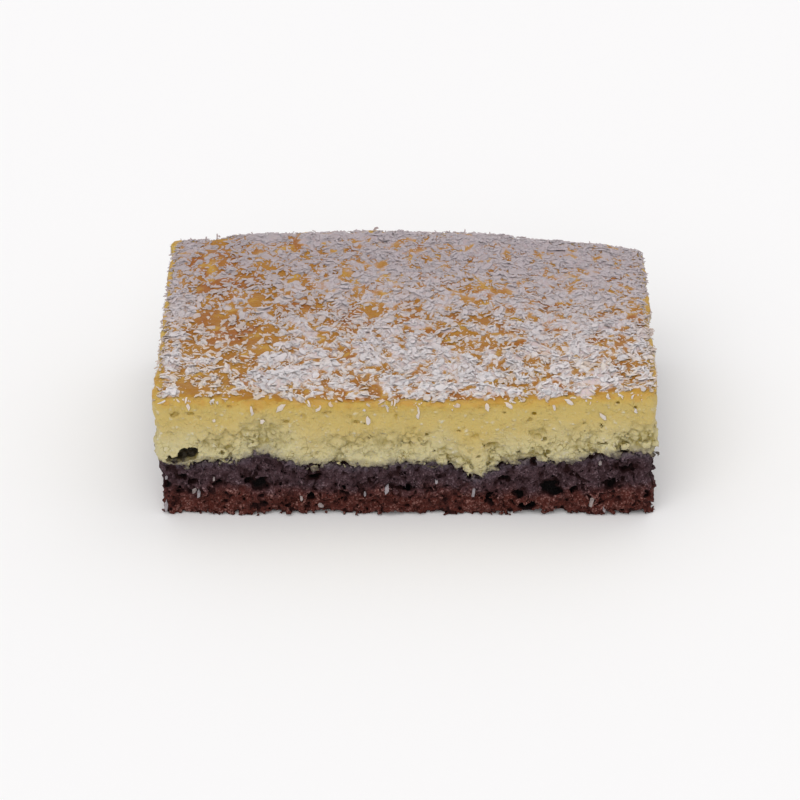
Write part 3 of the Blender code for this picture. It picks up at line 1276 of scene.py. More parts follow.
@dataclass
class CoconutLayer(CrumbLayer):
    """The yellow upper layer: curdy and broken below, close and smooth above."""

    lap: float = 0.35
    skin: float = 0.25
    crag: float = 0.7
    crag_size: float = 4.5
    crag_shift: float = 4.4
    stand_out: float = 0.15
    end_stand_out: float = 0.4
    curdy_height: float = 8.5
    bubbles_per_side: int = 16
    bubble_depths: Triple = (0.5, 0.12, 7.0)
    bubble_heights: Pair = (14.0, 23.0)
    bubble_widths: Pair = (0.9, 2.4)
    bubble_talls: Pair = (0.6, 1.2)
    front_bubbles: tuple[Opening, ...] = (
        (-43.8, 14.7, 3.8, 2.8), (-46.6, 13.4, 3.6, 1.4), (-46.3, 24.0, 1.8, 0.8), (-43.0, 24.2, 2.0, 0.7),
        (-41.3, 23.3, 1.0, 0.8), (-36.1, 19.8, 1.2, 0.9), (-31.4, 18.1, 1.0, 1.0), (-35.4, 16.2, 1.8, 0.9),
        (-37.0, 15.2, 1.8, 0.8), (-27.0, 17.1, 1.1, 0.6), (-20.6, 23.2, 1.6, 0.7), (-16.1, 24.2, 2.0, 0.7),
        (-11.3, 23.4, 1.1, 0.9), (-9.9, 22.0, 2.0, 0.6), (-2.0, 23.3, 0.9, 1.3), (-8.7, 19.1, 1.2, 0.8),
        (-7.3, 16.0, 1.1, 1.9), (-7.0, 14.7, 2.2, 0.8), (-13.5, 13.4, 1.6, 0.9), (4.2, 17.1, 2.0, 0.9),
        (7.3, 15.6, 1.6, 1.1), (6.5, 12.0, 1.2, 1.1), (13.9, 18.7, 1.5, 1.0), (17.5, 16.7, 2.6, 1.5),
        (16.2, 15.2, 1.3, 1.1), (21.1, 14.1, 2.4, 0.8), (16.4, 12.7, 1.2, 0.7), (24.7, 22.8, 1.4, 0.8),
        (26.5, 18.9, 1.5, 0.7), (32.8, 18.9, 1.8, 0.6), (31.1, 17.1, 0.9, 1.4), (28.3, 15.4, 1.8, 0.6),
        (23.0, 11.9, 1.9, 1.3), (7.9, 21.6, 0.9, 1.0), (48.3, 19.3, 1.5, 0.7), (48.7, 18.0, 0.9, 1.8),
        (39.5, 17.4, 2.2, 0.7), (36.6, 21.0, 1.2, 0.6),
    )

    name = "coconut_curd"
    node = "coconut_layer"
    slot = "coconut_layer"
    seed = 43

    def __post_init__(self) -> None:
        """Draw the noises."""
        self.broad = CadRelief(self.heights.shape, 35.0, self.crag_size, self.crag_shift)
        self.smooth = SmoothNoise(21)
        self.patches = SmoothNoise(23)
        self.wander = SmoothNoise(24, 3)
        self.curds = Grains(27)
        self.small_curds = Grains(28)
        self.pinholes = Grains(29)

    def floor_and_roof(self, x: Array, y: Array) -> tuple[Array, Array]:
        """Give the seam and the top under the browned skin."""
        return self.heights.seam.at(x, y) - self.lap, self.heights.top.at(x, y) - self.skin

    def inset(self, x: Array) -> Array:
        """Stand proud a little, and more at the left end."""
        return -self.stand_out - self.end_stand_out * self.heights.shape.left_end(x)

    def curdy(self, places: Array) -> Array:
        """Give 1 in the broken lower part and 0 in the close upper part."""
        rise = places[:, 2] - self.heights.seam.at(places[:, 0], places[:, 1])
        return eased(1.15 - (rise + 2.4 * self.patches.at(places, 4.5)) / self.curdy_height)

    def breaks(self, places: Array) -> tuple[Array, Array, Array, Array]:
        """Find the curds and where they come apart.

        Args:
            places: One place a row.

        Returns:
            How much each curd stands out, the share of a split between two of them, and the same
            for the small curds.
        """
        lower = self.curdy(places)
        drift = 0.5 * self.wander.layered(places, 1.3, 2)
        apart = lower * np.clip(0.45 + 1.5 * self.patches.at(places + 30, 3.2), 0, 1)
        squashed = (places + drift) * np.array((0.9, 0.9, 1.2), np.float32)
        middle, gap, kind, face = self.curds.lumps(squashed, 2.1)
        proud = (0.15 + 0.80 * apart) * (kind - 0.5) + (0.1 + 1.0 * apart) * face
        proud += 0.25 * lower * crowned(middle)
        split = apart * crevice(gap, 0.14)
        middle, gap, kind, face = self.small_curds.lumps(places + drift, 1.0)
        small_proud = (0.05 + 0.30 * lower) * (kind - 0.5) + (0.08 + 0.45 * lower) * face
        small_proud += (0.04 + 0.22 * lower) * crowned(middle)
        return proud, split, small_proud, (0.10 * lower + 0.9 * apart) * crevice(gap, 0.13)

    def relief(self, places: Array) -> Array:
        """Give broad crags, curds in the lower part and a little grain."""
        proud, split, small_proud, small_split = self.breaks(places)
        grain = self.smooth.layered(places, 1.2, 3)
        broad = self.crag * self.broad.at(places)
        return broad + 1.05 * proud - 1.30 * split + 0.8 * small_proud - 0.20 * small_split + 0.10 * grain

    def hollows(self, places: Array) -> Array:
        """Give pinholes and the bubbles."""
        wander = 0.32 * self.wander.layered(places, 0.9, 2)
        level = (places + wander) * np.array((0.75, 0.75, 1.2), np.float32)
        pinholes = self.pinholes.hollows(level, 1.9, (0.15, 0.55), 0.40)
        return np.maximum(pinholes, self.bubble_hollows(places, 1.2 * wander))

    def readings(self, points: Array) -> dict[str, Array]:
        """Give the height over the seam, the depth under the top and behind the wall, and the splits."""
        x, y, z = points.T
        _, split, _, small_split = self.breaks(points)
        pit = self.crag * self.broad.at(points) - self.heights.shape.wall_distance(x, y) - self.inset(x)
        return {
            "rise": z - self.heights.seam.at(x, y),
            "depth": self.heights.top.at(x, y) - z,
            "pit": np.minimum(pit, 0.1 + 0.6 * np.maximum(self.heights.top.at(x, y) - z, 0)),
            "split": np.clip(split + 0.45 * small_split, 0, 1) * np.clip(0.35 + pit, 0.1, 0.9),
        }

    def finish(self) -> bpy.types.Material:
        """Build the curd's material."""
        return CurdFinish().make()


# Coconut


@dataclass(frozen=True)
class FlakeSizes:
    """One kind of flake: its range of sizes, how many there are and how they fall."""

    piece: str
    length: Pair
    width_share: Pair
    thickness: Pair
    count: int
    haste: float
    standing: float


class FlakeKind(Enum):
    """The kinds of desiccated coconut: broad chips, thin shreds and fine bits."""

    CHIP = FlakeSizes("coconut_chips", (0.8, 3.2), (0.45, 0.85), (0.05, 0.10), 4800, 0.9, 0.16)
    SHRED = FlakeSizes("coconut_shreds", (0.8, 2.7), (0.24, 0.48), (0.06, 0.11), 5200, 0.9, 0.16)
    FINE = FlakeSizes("coconut_fines", (0.40, 1.15), (0.45, 0.95), (0.05, 0.10), 13000, 1.5, 0.10)


@dataclass(frozen=True)
class FlakeForm:
    """One flake's points, one unit long, wide and thick, and its faces."""

    points: Array
    faces: tuple[tuple[int, ...], ...]

    @classmethod
    def plate(cls, corners: int, draws: np.random.Generator) -> "FlakeForm":
        """Make an uneven plate whose upper face is the smaller.

        Args:
            corners: How many corners it has.
            draws: The random numbers.

        Returns:
            The form.
        """
        turns = (np.arange(corners) + draws.uniform(-0.32, 0.32, corners)) / corners * math.tau
        reach = draws.uniform(0.72, 1.12, corners) * 0.5
        ring = np.stack((np.cos(turns) * reach, np.sin(turns) * reach), axis=1)
        shift = draws.uniform(-0.05, 0.05, 2)
        lower = np.column_stack((ring, np.full(corners, -0.5)))
        upper = np.column_stack((ring * draws.uniform(0.74, 0.95) + shift, np.full(corners, 0.5)))
        upper[:, 2] += draws.uniform(-0.25, 0.25, corners)
        faces = [tuple(range(corners, 2 * corners)), tuple(range(corners))[::-1]]
        for k in range(corners):
            following = (k + 1) % corners
            faces.append((k, following, corners + following, corners + k))
        return cls(np.concatenate((lower, upper)), tuple(faces))

    @classmethod
    def strip(cls, draws: np.random.Generator) -> "FlakeForm":
        """Make a bowed strip with tapered ends.

        Args:
            draws: The random numbers.

        Returns:
            The form.
        """
        stations = np.array((-0.5, draws.uniform(-0.15, 0.15), 0.5))
        widths = np.array((draws.uniform(0.25, 0.9), 1.0, draws.uniform(0.2, 0.8)))
        bow = draws.uniform(-0.9, 0.9) * (0.25 - stations**2) * 2
        curl = draws.uniform(-1.0, 2.0) * (0.25 - stations**2) * 2
        points = []
        for place, wide, side, lift in zip(stations, widths / 2, bow, curl):
            skew = draws.uniform(-0.08, 0.08)
            for across, up in ((-wide, -0.5), (wide, -0.5), (wide * 0.85, 0.5), (-wide * 0.85, 0.5)):
                points.append((place + skew * across, side + across, lift + up))
        faces = [(3, 2, 1, 0), (8, 9, 10, 11)]
        for station in range(2):
            for k in range(4):
                following = (k + 1) % 4
                start = 4 * station
                faces.append((start + k, start + following, start + 4 + following, start + 4 + k))
        return cls(np.array(points), tuple(faces))


class FlakePile:
    """Many flakes gathered into one mesh."""

    LOWEST = 0.02

    def __init__(self) -> None:
        """Start empty."""
        self.points: list[Array] = []
        self.faces: list[tuple[int, ...]] = []
        self.tones: list[Array] = []
        self.lifts: list[Array] = []
        self.count = 0

    def add(
        self,
        form: FlakeForm,
        place: Array,
        axes: Array,
        size: Triple,
        tone: float,
        lift: float = 1.0,
    ) -> None:
        """Add one flake.

        Args:
            form: Its form.
            place: Its middle.
            axes: Its long, wide and thick directions, one a row.
            size: Its length, width and thickness.
            tone: Its random tone for the finish.
            lift: How far it lies above the browned skin.
        """
        self.points.append((form.points * size) @ axes + place)
        self.faces.extend(tuple(self.count + k for k in face) for face in form.faces)
        self.tones.append(np.full(len(form.points), tone, np.float32))
        self.lifts.append(np.full(len(form.points), lift, np.float32))
        self.count += len(form.points)

    def build(self, name: str, material: bpy.types.Material, slot: str) -> bpy.types.Object:
        """Make the one mesh of all the flakes.

        Args:
            name: The piece's name.
            material: Its finish.
            slot: Not used.

        Returns:
            The finished piece.
        """
        readings = {"tone": np.concatenate(self.tones), "lift": np.concatenate(self.lifts)}
        points = np.concatenate(self.points)
        points[:, 2] = np.maximum(points[:, 2], self.LOWEST)
        piece = make_piece(name, points, self.faces, readings)
        piece.data.materials.append(material)
        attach(piece, BODY)
        return piece


class SettlingBed:
    """The height that the next flake comes to rest on, on a fine grid."""

    STEP = 0.25
    REACH = 3.0
    STEEPEST = 0.22
    PACKING = 0.70
    PROP = 0.24
    LONG_REACH = 0.85
    WIDE_REACH = 0.8

    def __init__(self, heights: CakeHeights) -> None:
        """Start with the bare top, a little lower outside its edge."""
        shape = heights.shape
        self.start = np.array((-shape.length / 2 - self.REACH, -shape.depth / 2 - self.REACH))
        runs = [np.arange(low, -low + self.STEP, self.STEP) for low in self.start]
        x, y = np.meshgrid(*runs, indexing="ij")
        over = np.maximum(shape.wall_distance(x, y) + 0.5, 0)
        self.bare = heights.top.at(x, y) - 0.9 * over
        self.values = self.bare.copy()

    def cells(self, x: Array, y: Array) -> tuple[Array, Array]:
        """Find the grid cells of some places."""
        i = np.clip(np.rint((x - self.start[0]) / self.STEP).astype(int), 0, self.values.shape[0] - 1)
        j = np.clip(np.rint((y - self.start[1]) / self.STEP).astype(int), 0, self.values.shape[1] - 1)
        return i, j

    def pile(self, x: Array, y: Array) -> Array:
        """Read how deep the settled coconut is, evened out over a few flakes."""
        depth = self.values - self.bare
        for _ in range(2):
            for axis in (0, 1):
                depth = (np.roll(depth, 1, axis) + depth + np.roll(depth, -1, axis)) / 3
        return read_grid(depth, self.start, self.STEP, (x, y))

    def land(self, x: float, y: float, heading: float, size: Triple, tilt: Pair) -> Triple:
        """Lay a flake on what is below it, and raise the bed there.

        Args:
            x, y: The flake's middle.
            heading: The direction of its length.
            size: Its length, width and thickness.
            tilt: Extra slopes along and across it.

        Returns:
            The height of its middle, and its slopes along and across.
        """
        long, wide, thick = size[0] / 2, size[1] / 2, size[2]
        turn_x, turn_y = math.cos(heading), math.sin(heading)
        along_count, across_count = int(2 * long / self.STEP) + 1, int(2 * wide / self.STEP) + 1
        along = np.linspace(-self.LONG_REACH, self.LONG_REACH, max(3, along_count))[:, None] * long
        across = np.linspace(-self.WIDE_REACH, self.WIDE_REACH, max(2, across_count)) * wide
        i, j = self.cells(x + along * turn_x - across * turn_y, y + along * turn_y + across * turn_x)
        below = self.values[i, j]
        slope = (below[-1].mean() - below[0].mean()) / (2 * self.LONG_REACH * long)
        lean = (below[:, -1].mean() - below[:, 0].mean()) / (2 * self.WIDE_REACH * wide)
        slope = min(max(slope, -self.STEEPEST), self.STEEPEST) + tilt[0]
        lean = min(max(lean, -self.STEEPEST), self.STEEPEST) + tilt[1]
        plane = slope * along + lean * across
        gap = below - plane
        middle = self.PROP * gap.max() + (1 - self.PROP) * gap.mean() + 0.5 * thick
        self.values[i, j] += self.PACKING * np.maximum(plane + middle + 0.4 * thick - below, 0)
        return middle, slope, lean


@dataclass
class CoconutDusting:
    """The loose coconut on top, dense in drifts and thin over the bare browned spots."""

    heights: CakeHeights
    curd: CoconutLayer
    seed: int = 57
    forms_per_kind: int = 40
    least_cover: float = 0.04
    left_cover: float = 0.44
    right_cover: float = 0.20
    far_cover: float = 0.34
    end_cover: float = 0.3
    drift_cover: float = 0.30
    brink_cover: float = 0.12
    front_per_mm: float = 1.3
    others_per_mm: float = 0.4
    bare_spots: tuple[BareSpot, ...] = (
        (-31, -9, 5.0, 0.82), (-38, -12, 3.6, 0.65), (-41, -3, 4.0, 0.69), (-30, 5, 3.6, 0.65),
        (-34, 13, 3.6, 0.60), (-26, 15, 2.9, 0.52), (-20, 22, 2.9, 0.52), (-43, 12, 3.2, 0.47),
        (-40, 23, 4.3, 0.39), (-44, -25, 3.2, 0.56), (-17, -9, 2.6, 0.73), (-6, 0, 3.0, 0.73),
        (-13, -15, 3.0, 0.69), (8, -8, 3.3, 0.65), (15, -2, 2.2, 0.65), (0, -22, 2.0, 0.60),
        (25, -19, 3.2, 0.60), (43, -12, 3.0, 0.56), (46, -20, 2.6, 0.56), (42, 2, 2.0, 0.52),
        (28, 3, 2.2, 0.43), (4, 29, 1.7, 0.52),
    )
    # Drifts: x, y and reach
    drifts: tuple[Triple, ...] = (
        (-24, -20, 7.0), (-22, -7, 5.0), (2, -17, 6.0), (14, -19, 6.0), (33, -8, 8.0), (-2, 12, 12.0),
        (32, 16, 12.0),
    )
    heaps: tuple[Heap, ...] = (
        (-20.4, 30.5, 4.0, 125), (-10.5, 31.0, 4.0, 70), (-4.5, 31.0, 3.0, 50), (13.0, 31.0, 5.0, 75),
        (27.0, 30.5, 4.0, 50), (-30.0, 31.0, 4.0, 75), (-24.0, -22.0, 6.0, 90), (14.0, -22.0, 6.0, 60),
    )
    hanging: tuple[WallSpot, ...] = (
        (-30.9, 25.0, 2.8, 0.9, 0.1), (-25.1, 25.5, 3.2, 1.4, -0.75), (-28.8, 22.4, 1.3, 1.1, 0.3),
        (-43.5, 26.0, 1.8, 0.9, 0.2), (-7.6, 22.4, 2.3, 1.0, 0.1), (-8.4, 24.9, 1.0, 0.9, 0.5),
        (2.3, 24.2, 3.6, 0.9, -0.05), (16.2, 25.8, 2.0, 1.0, 0.3), (20.6, 26.1, 2.0, 0.9, 0.9),
        (32.6, 27.0, 2.4, 1.1, 1.1), (29.6, 25.8, 2.0, 0.7, 0.2), (39.4, 23.4, 2.6, 1.0, 0.7),
        (-38.5, 22.8, 1.4, 1.0, 0.4), (45.8, 24.9, 1.5, 1.0, 0.3), (-17.5, 25.6, 1.9, 1.0, -0.5),
    )

    def __post_init__(self) -> None:
        """Draw the noises, the forms and the bed."""
        self.draws = np.random.default_rng(self.seed)
        self.patches = SmoothNoise(58)
        self.bed = SettlingBed(self.heights)
        numbers = range(self.forms_per_kind)
        self.forms = {
            FlakeKind.CHIP: [FlakeForm.plate(5 + k % 3, self.draws) for k in numbers],
            FlakeKind.SHRED: [FlakeForm.strip(self.draws) for _ in numbers],
            FlakeKind.FINE: [FlakeForm.plate(4 + k % 2, self.draws) for k in numbers],
        }
        self.piles = {kind: FlakePile() for kind in FlakeKind}

    def cover(self, x: Array, y: Array) -> Array:
        """Give the share of flakes that stay where they fall.

        Args:
            x, y: The places.

        Returns:
            A share for each place.
        """
        flat = np.stack((x, 0.6 * y, np.zeros_like(x)), axis=1).astype(np.float32)
        uneven = 0.22 * self.patches.layered(flat, 6.0, 2) + 0.34 * self.patches.at(flat + 40, 2.1)
        far = eased((y + 4) / 22) * eased((x + 46) / 25)
        right = eased((x + 45) / 70) * (0.75 + 0.35 * eased((y + 24) / 20))
        end = eased((-43 - x) / 6)
        share = self.left_cover + self.right_cover * right + self.far_cover * far
        share = share + uneven + self.end_cover * end
        for at_x, at_y, reach in self.drifts:
            share += self.drift_cover * np.exp(-((x - at_x) ** 2 + (y - at_y) ** 2) / reach**2)
        for at_x, at_y, reach, bareness in self.bare_spots:
            share *= 1 - bareness * np.exp(-(((x - at_x) ** 2 + (y - at_y) ** 2) / reach**2) ** 1.5)
        brink = y + self.heights.shape.depth / 2 - 0.25 - 1.6 * self.patches.at(flat + 80, 2.2)
        at_brink = self.brink_cover + (1 - self.brink_cover) * eased(brink / 1.2)
        return np.clip(share, self.least_cover, 1) * at_brink

    def size(self, kind: FlakeKind) -> Triple:
        """Draw one flake's length, width and thickness."""
        sizes = kind.value
        length = sizes.length[0] + (sizes.length[1] - sizes.length[0]) * self.draws.beta(1.3, 2.6)
        return length, length * self.draws.uniform(*sizes.width_share), self.draws.uniform(*sizes.thickness)

    def order(self) -> list[FlakeKind]:
        """Draw the order in which the flakes fall, with more of the fine bits first."""
        fall = []
        for kind in FlakeKind:
            moments = self.draws.beta(1.0, kind.value.haste, kind.value.count)
            fall.extend((moment, kind) for moment in moments)
        fall.sort(key=lambda pair: pair[0])
        return [kind for _, kind in fall]

    def drop(self, kind: FlakeKind, x: float, y: float, share: float) -> None:
        """Let one flake fall and settle.

        Args:
            kind: Its kind.
            x, y: Where it falls.
            share: The cover there: flakes in thin cover are warmer, partly as half soaked and partly as
                painted amber bounce light from the browned skin.
        """
        shape = self.heights.shape
        inside = -float(shape.wall_distance(np.array([x]), np.array([y]))[0])
        scale = min(max(0.70 + 0.20 * inside, 0.70), 1.0)
        long, wide, thick = self.size(kind)
        size = (long * scale, wide * scale, thick)
        heading = self.draws.uniform(0, math.tau)
        z, slope, lean = self.bed.land(x, y, heading, size, self.tilt(kind, y))
        axes = self.axes(heading, slope, lean)
        form = self.forms[kind][self.draws.integers(self.forms_per_kind)]
        # Thin cover draws warmer tones: partly soaked flakes, partly painted amber bounce light
        tone = np.clip(0.55 * self.draws.random() + 0.9 * (0.72 - share), 0, 1)
        lift = z - float(self.heights.top.at(np.array([x]), np.array([y]))[0])
        self.piles[kind].add(form, np.array((x, y, z)), axes, size, tone, lift)

    def scatter(self) -> None:
        """Let all the flakes fall on the top, then the few that lie in heaps."""
        shape = self.heights.shape
        fall = self.order()
        tries = 3 * len(fall)
        x = self.draws.uniform(-0.5, 0.5, tries) * (shape.length + 2)
        y = self.draws.uniform(-0.5, 0.5, tries) * (shape.depth + 1)
        cover = self.cover(x, y)
        reach = 0.3 + 0.2 * (y > 2 - shape.depth / 2) + 0.4 * (x < -49)
        stays = (self.draws.random(tries) < cover) & (shape.wall_distance(x, y) < reach)
        for kind, at_x, at_y, share in zip(fall, x[stays], y[stays], cover[stays]):
            self.drop(kind, at_x, at_y, share)
        for middle_x, middle_y, reach, count in self.heaps:
            for _ in range(count):
                at_x = middle_x + self.draws.normal(0, reach / 2)
                at_y = middle_y - abs(self.draws.normal(0, reach / 2))
                kind = (FlakeKind.CHIP, FlakeKind.SHRED)[self.draws.integers(2)]
                self.drop(kind, at_x, at_y, 0.9)

    def tilt(self, kind: FlakeKind, y: float) -> Pair:
        """Draw a flake's extra slopes, steep for the few that stand up and flatter to the back."""
        calm = 1.1 - 0.75 * float(eased((y + 22) / 36))
        standing = self.draws.random() < kind.value.standing
        spread = (0.45, 0.80) if standing else (0.16, 0.26)
        return calm * self.draws.normal(0, spread[0]), calm * self.draws.normal(0, spread[1])

    def axes(self, heading: float, slope: float, lean: float) -> Array:
        """Turn a heading and two slopes into a flake's three directions."""
        turn_x, turn_y = math.cos(heading), math.sin(heading)
        along = Vector((turn_x, turn_y, slope)).normalized()
        up = along.cross(Vector((-turn_y, turn_x, lean))).normalized()
        return np.array((along, up.cross(along), up))

    def stick(self, side: Side, place: Array, turn: float, size: Triple, kind: FlakeKind) -> None:
        """Stick one flake to a wall.

        Args:
            side: The wall.
            place: The flake's middle.
            turn: How far its length is turned away from straight down.
            size: Its length, width and thickness.
            kind: Its kind.
        """
        long = side.along * math.sin(turn) - np.array((0, 0, 1.0)) * math.cos(turn)
        long = long + side.outward * self.draws.uniform(-0.10, 0.22)
        long /= np.linalg.norm(long)
        up = side.outward + side.along * self.draws.normal(0, 0.25)
        up -= long * (up @ long)
        up /= np.linalg.norm(up)
        form = self.forms[kind][self.draws.integers(self.forms_per_kind)]
        place = place + side.outward * (self.curd.stand(place) + self.draws.uniform(0.0, 0.2))
        tone = self.draws.uniform(0.5, 1.0)
        self.piles[kind].add(form, place, np.stack((long, np.cross(up, long), up)), size, tone)

    def cling(self) -> None:
        """Stick some flakes to the walls, most of them just under the rim."""
        shape = self.heights.shape
        for along, height, long, wide, turn in self.hanging:
            place = Side.FRONT.place(shape, along, height)
            self.stick(Side.FRONT, place, turn, (long, wide, 0.14), FlakeKind.CHIP)
        kinds = (FlakeKind.SHRED, FlakeKind.SHRED, FlakeKind.FINE, FlakeKind.FINE)
        for side in Side:
            front = side is Side.FRONT
            for _ in range(int(side.run(shape) * (self.front_per_mm if front else self.others_per_mm))):
                kind = kinds[self.draws.integers(len(kinds))]
                along = self.draws.uniform(-0.49, 0.49) * side.run(shape)
                under = min(self.draws.exponential(0.42 if front else 0.9), 10.0)
                if front and self.patches.at(np.array([[along, 0.0, 90.0]], np.float32), 2.6)[0] < 0.12:
                    continue
                place = side.place(shape, along, 0.0)
                place[2] = self.heights.top.at(place[:1], place[1:2])[0] - under
                size = self.size(kind)
                size = (size[0] * 0.8, size[1] * 0.75, size[2])
                self.stick(side, place, self.draws.normal(0, 0.7), size, kind)

    def build(self) -> list[bpy.types.Object]:
        """Build one piece of each kind of flake.

        Returns:
            The finished pieces.
        """
        self.scatter()
        self.cling()
        material = CoconutFinish().make()
        return [self.piles[kind].build(kind.value.piece, material, "coconut_flakes") for kind in FlakeKind]


@dataclass
class BrownedTop:
    """The thin sticky skin that baking left on top, with fine coconut packed between the flakes."""

    heights: CakeHeights
    bed: SettlingBed
    step: float = 0.45
    thickness: float = 0.8
    wrinkle: float = 0.16
    wrinkle_size: float = 2.6
    edge_drop: float = 0.85
    edge_reach: float = 1.8
    packed: float = 0.80
    packed_behind: float = 0.08
    sticking: float = 0.05

    def build(self) -> bpy.types.Object:
        """Build the skin and dress it.

        Returns:
            The finished piece.
        """
        shape = self.heights.shape
        count_x = int(shape.length / self.step)
        count_y = int(shape.depth / self.step)
        u, v = np.meshgrid(np.linspace(-1, 1, count_x + 1), np.linspace(-1, 1, count_y + 1), indexing="ij")
        x = u * shape.length / 2
        y = v * shape.depth / 2
        corner = shape.corner_radius
        over_x = np.maximum(np.abs(x) - (shape.length / 2 - corner), 0)
        over_y = np.maximum(np.abs(y) - (shape.depth / 2 - corner), 0)
        over = np.hypot(over_x, over_y)
        pull = np.maximum(over - corner, 0) / np.maximum(over, 1e-6)
        x = x - np.sign(x) * over_x * pull
        y = y - np.sign(y) * over_y * pull
        edge = shape.wall_distance(x, y)
        flat = np.stack((x.ravel(), y.ravel(), np.zeros(x.size)), axis=1).astype(np.float32)
        wrinkles = SmoothNoise(31).layered(flat, self.wrinkle_size, 3).reshape(x.shape)
        drop = self.edge_drop * np.clip(1 + edge / self.edge_reach, 0, 1) ** 2
        pile = self.bed.pile(x, y)
        packed = self.packed + self.packed_behind * eased((y + 10) / 25)
        powder = packed * np.maximum(pile - self.sticking, 0)
        z = self.heights.top.at(x, y) + self.wrinkle * wrinkles - drop + powder
        points = np.stack((x.ravel(), y.ravel(), z.ravel()), axis=1)
        row = count_y + 1
        corners = (np.arange(count_x)[:, None] * row + np.arange(count_y)).ravel()
        quads = np.stack((corners, corners + row, corners + row + 1, corners + 1), axis=1)
        piece = make_piece("browned_top", points, quads, {"edge": edge.ravel(), "dust": pile.ravel()})
        shell = piece.modifiers.new("thickness", "SOLIDIFY")
        shell.thickness = self.thickness * MM
        shell.offset = -1
        piece.data.shade_smooth()
        piece.data.materials.append(BrownedFinish().make())
        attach(piece, BODY)
        return piece


# Bits in and on the walls


@dataclass
class WallBits:
    """Coconut baked into the sponge, and crumbs on the walls, along the seam and at the foot."""

    sponge: CocoaSponge
    curd: CoconutLayer
    seed: int = 71
    forms: int = 24
    soaked: tuple[WallSpot, ...] = (
        (13.6, 5.4, 2.8, 1.0, 0.15), (-42.1, 4.9, 2.4, 0.9, 0.15), (-43.0, 5.6, 1.6, 1.0, 0.40),
        (37.6, 3.2, 3.4, 1.3, 0.20), (-4.0, 6.2, 2.8, 1.1, 0.20), (-48.9, 1.9, 3.0, 0.9, 0.05),
        (-39.0, 8.3, 0.8, 0.6, 0.50), (-21.3, 4.3, 1.5, 1.0, 0.20), (6.1, 8.3, 1.2, 0.8, 0.70),
        (39.1, 12.4, 1.1, 0.9, 0.30), (-17.4, 2.2, 1.6, 1.2, 1.20), (-48.6, 8.6, 0.8, 0.6, 0.90),
        (40.1, 1.6, 1.5, 0.8, -0.30), (-8.4, 5.0, 1.2, 0.5, 0.10),
    )
    soaked_per_side: int = 9
    soaked_thickness: float = 0.8
    cocoa_per_side: float = 70.0
    cocoa_at_seam: float = 28.0
    cocoa_at_foot: float = 17.5
    curd_per_side: float = 45.0
    curd_depth: float = 9.0
    clear: CoconutFinish = CoconutFinish(
        name="soaked_coconut",
        cool=(0.40, 0.36, 0.38),
        warm=(0.42, 0.35, 0.33),
        clear=(0.13, 0.10, 0.10),
        # Painted shade: these pieces grey towards the back too
        sunk_and_bounce_light=(0.20, 0.15, 0.14),
        far=(0.22, 0.19, 0.20),
        through=0.5,
    )

    def __post_init__(self) -> None:
        """Draw the forms."""
        self.draws = np.random.default_rng(self.seed)
        self.heights = self.sponge.heights
        self.lumps = [self.lump() for _ in range(self.forms)]
        self.plates = [FlakeForm.plate(5 + k % 3, self.draws) for k in range(self.forms)]

    def lump(self) -> FlakeForm:
        """Make an uneven ball, one unit across."""
        ball = bmesh.new()
        bmesh.ops.create_icosphere(ball, subdivisions=2, radius=0.5)
        shift = self.draws.uniform(0, 50, 3)
        points = []
        for corner in ball.verts:
            place = Vector(corner.co) * 3.2 + Vector(shift)
            reach = 0.9 + 1.1 * noise.noise(place * 0.7) + 0.55 * noise.noise(place * 1.7)
            points.append(corner.co * reach)
        faces = tuple(tuple(corner.index for corner in face.verts) for face in ball.faces)
        ball.free()
        return FlakeForm(np.array(points), faces)

    def any_axes(self) -> Array:
        """Draw three square directions at random."""
        turned, _ = np.linalg.qr(self.draws.normal(size=(3, 3)))
        return turned

    def crumbs(
        self,
        pile: FlakePile,
        side: Side,
        count: float,
        heights: Callable[[Array], float],
        sizes: Pair,
    ) -> None:
        """Press crumbs into a wall.

        Args:
            pile: Where they are gathered.
            side: The wall.
            count: How many a wall of full length has.
            heights: Draws the height of the crumb at a place.
            sizes: The smallest and the largest.
        """
        shape = self.heights.shape
        for _ in range(int(count * (side.run(shape) / shape.length))):
            along = self.draws.uniform(-0.5, 0.5) * (side.run(shape) - 1.5)
            across = sizes[0] + (sizes[1] - sizes[0]) * self.draws.beta(1.0, 2.4)
            place = side.place(shape, along, 0.0)
            place[2] = max(heights(place), 0.75 * across)
            layer = self.sponge if place[2] < self.seam_at(place) else self.curd
            place += side.outward * (layer.stand(place) - self.draws.uniform(-0.05, 0.40) * across)
            if layer.hollows((place - side.outward * across).astype(np.float32)[None])[0] > -0.1:
                continue
            size = across * self.draws.uniform(0.55, 1.35, 3)
            form = self.lumps[self.draws.integers(self.forms)]
            pile.add(form, place, self.any_axes(), tuple(size), self.draws.random())

    def seam_at(self, place: Array) -> float:
        """Read the height of the seam."""
        return float(self.heights.seam.at(place[:1], place[1:2])[0])

    def sponge_height(self, place: Array) -> float:
        """Draw a height on the sponge, lower ones more often."""
        return self.draws.beta(0.7, 1.6) * (self.seam_at(place) - 1.0)

    def seam_height(self, place: Array) -> float:
        """Draw a height close to the seam."""
        return self.seam_at(place) + self.draws.normal(-0.35, 0.55)

    def soak(self, pile: FlakePile) -> None:
        """Bake coconut into the sponge, at named places in front and scattered ones elsewhere."""
        shape = self.heights.shape
        for along, height, long, wide, turn in self.soaked:
            self.bury(pile, Side.FRONT, along, height, (long, wide, self.soaked_thickness), turn)
        for side in (Side.BACK, Side.LEFT, Side.RIGHT):
            for _ in range(self.soaked_per_side):
                along = self.draws.uniform(-0.47, 0.47) * side.run(shape)
                long = self.draws.uniform(0.7, 2.1)
                size = (long, long * self.draws.uniform(0.30, 0.6), self.soaked_thickness)
                height = max(self.draws.uniform(1.6, 9.5), 0.6 * long)
                self.bury(pile, side, along, height, size, self.draws.normal(0, 0.5))

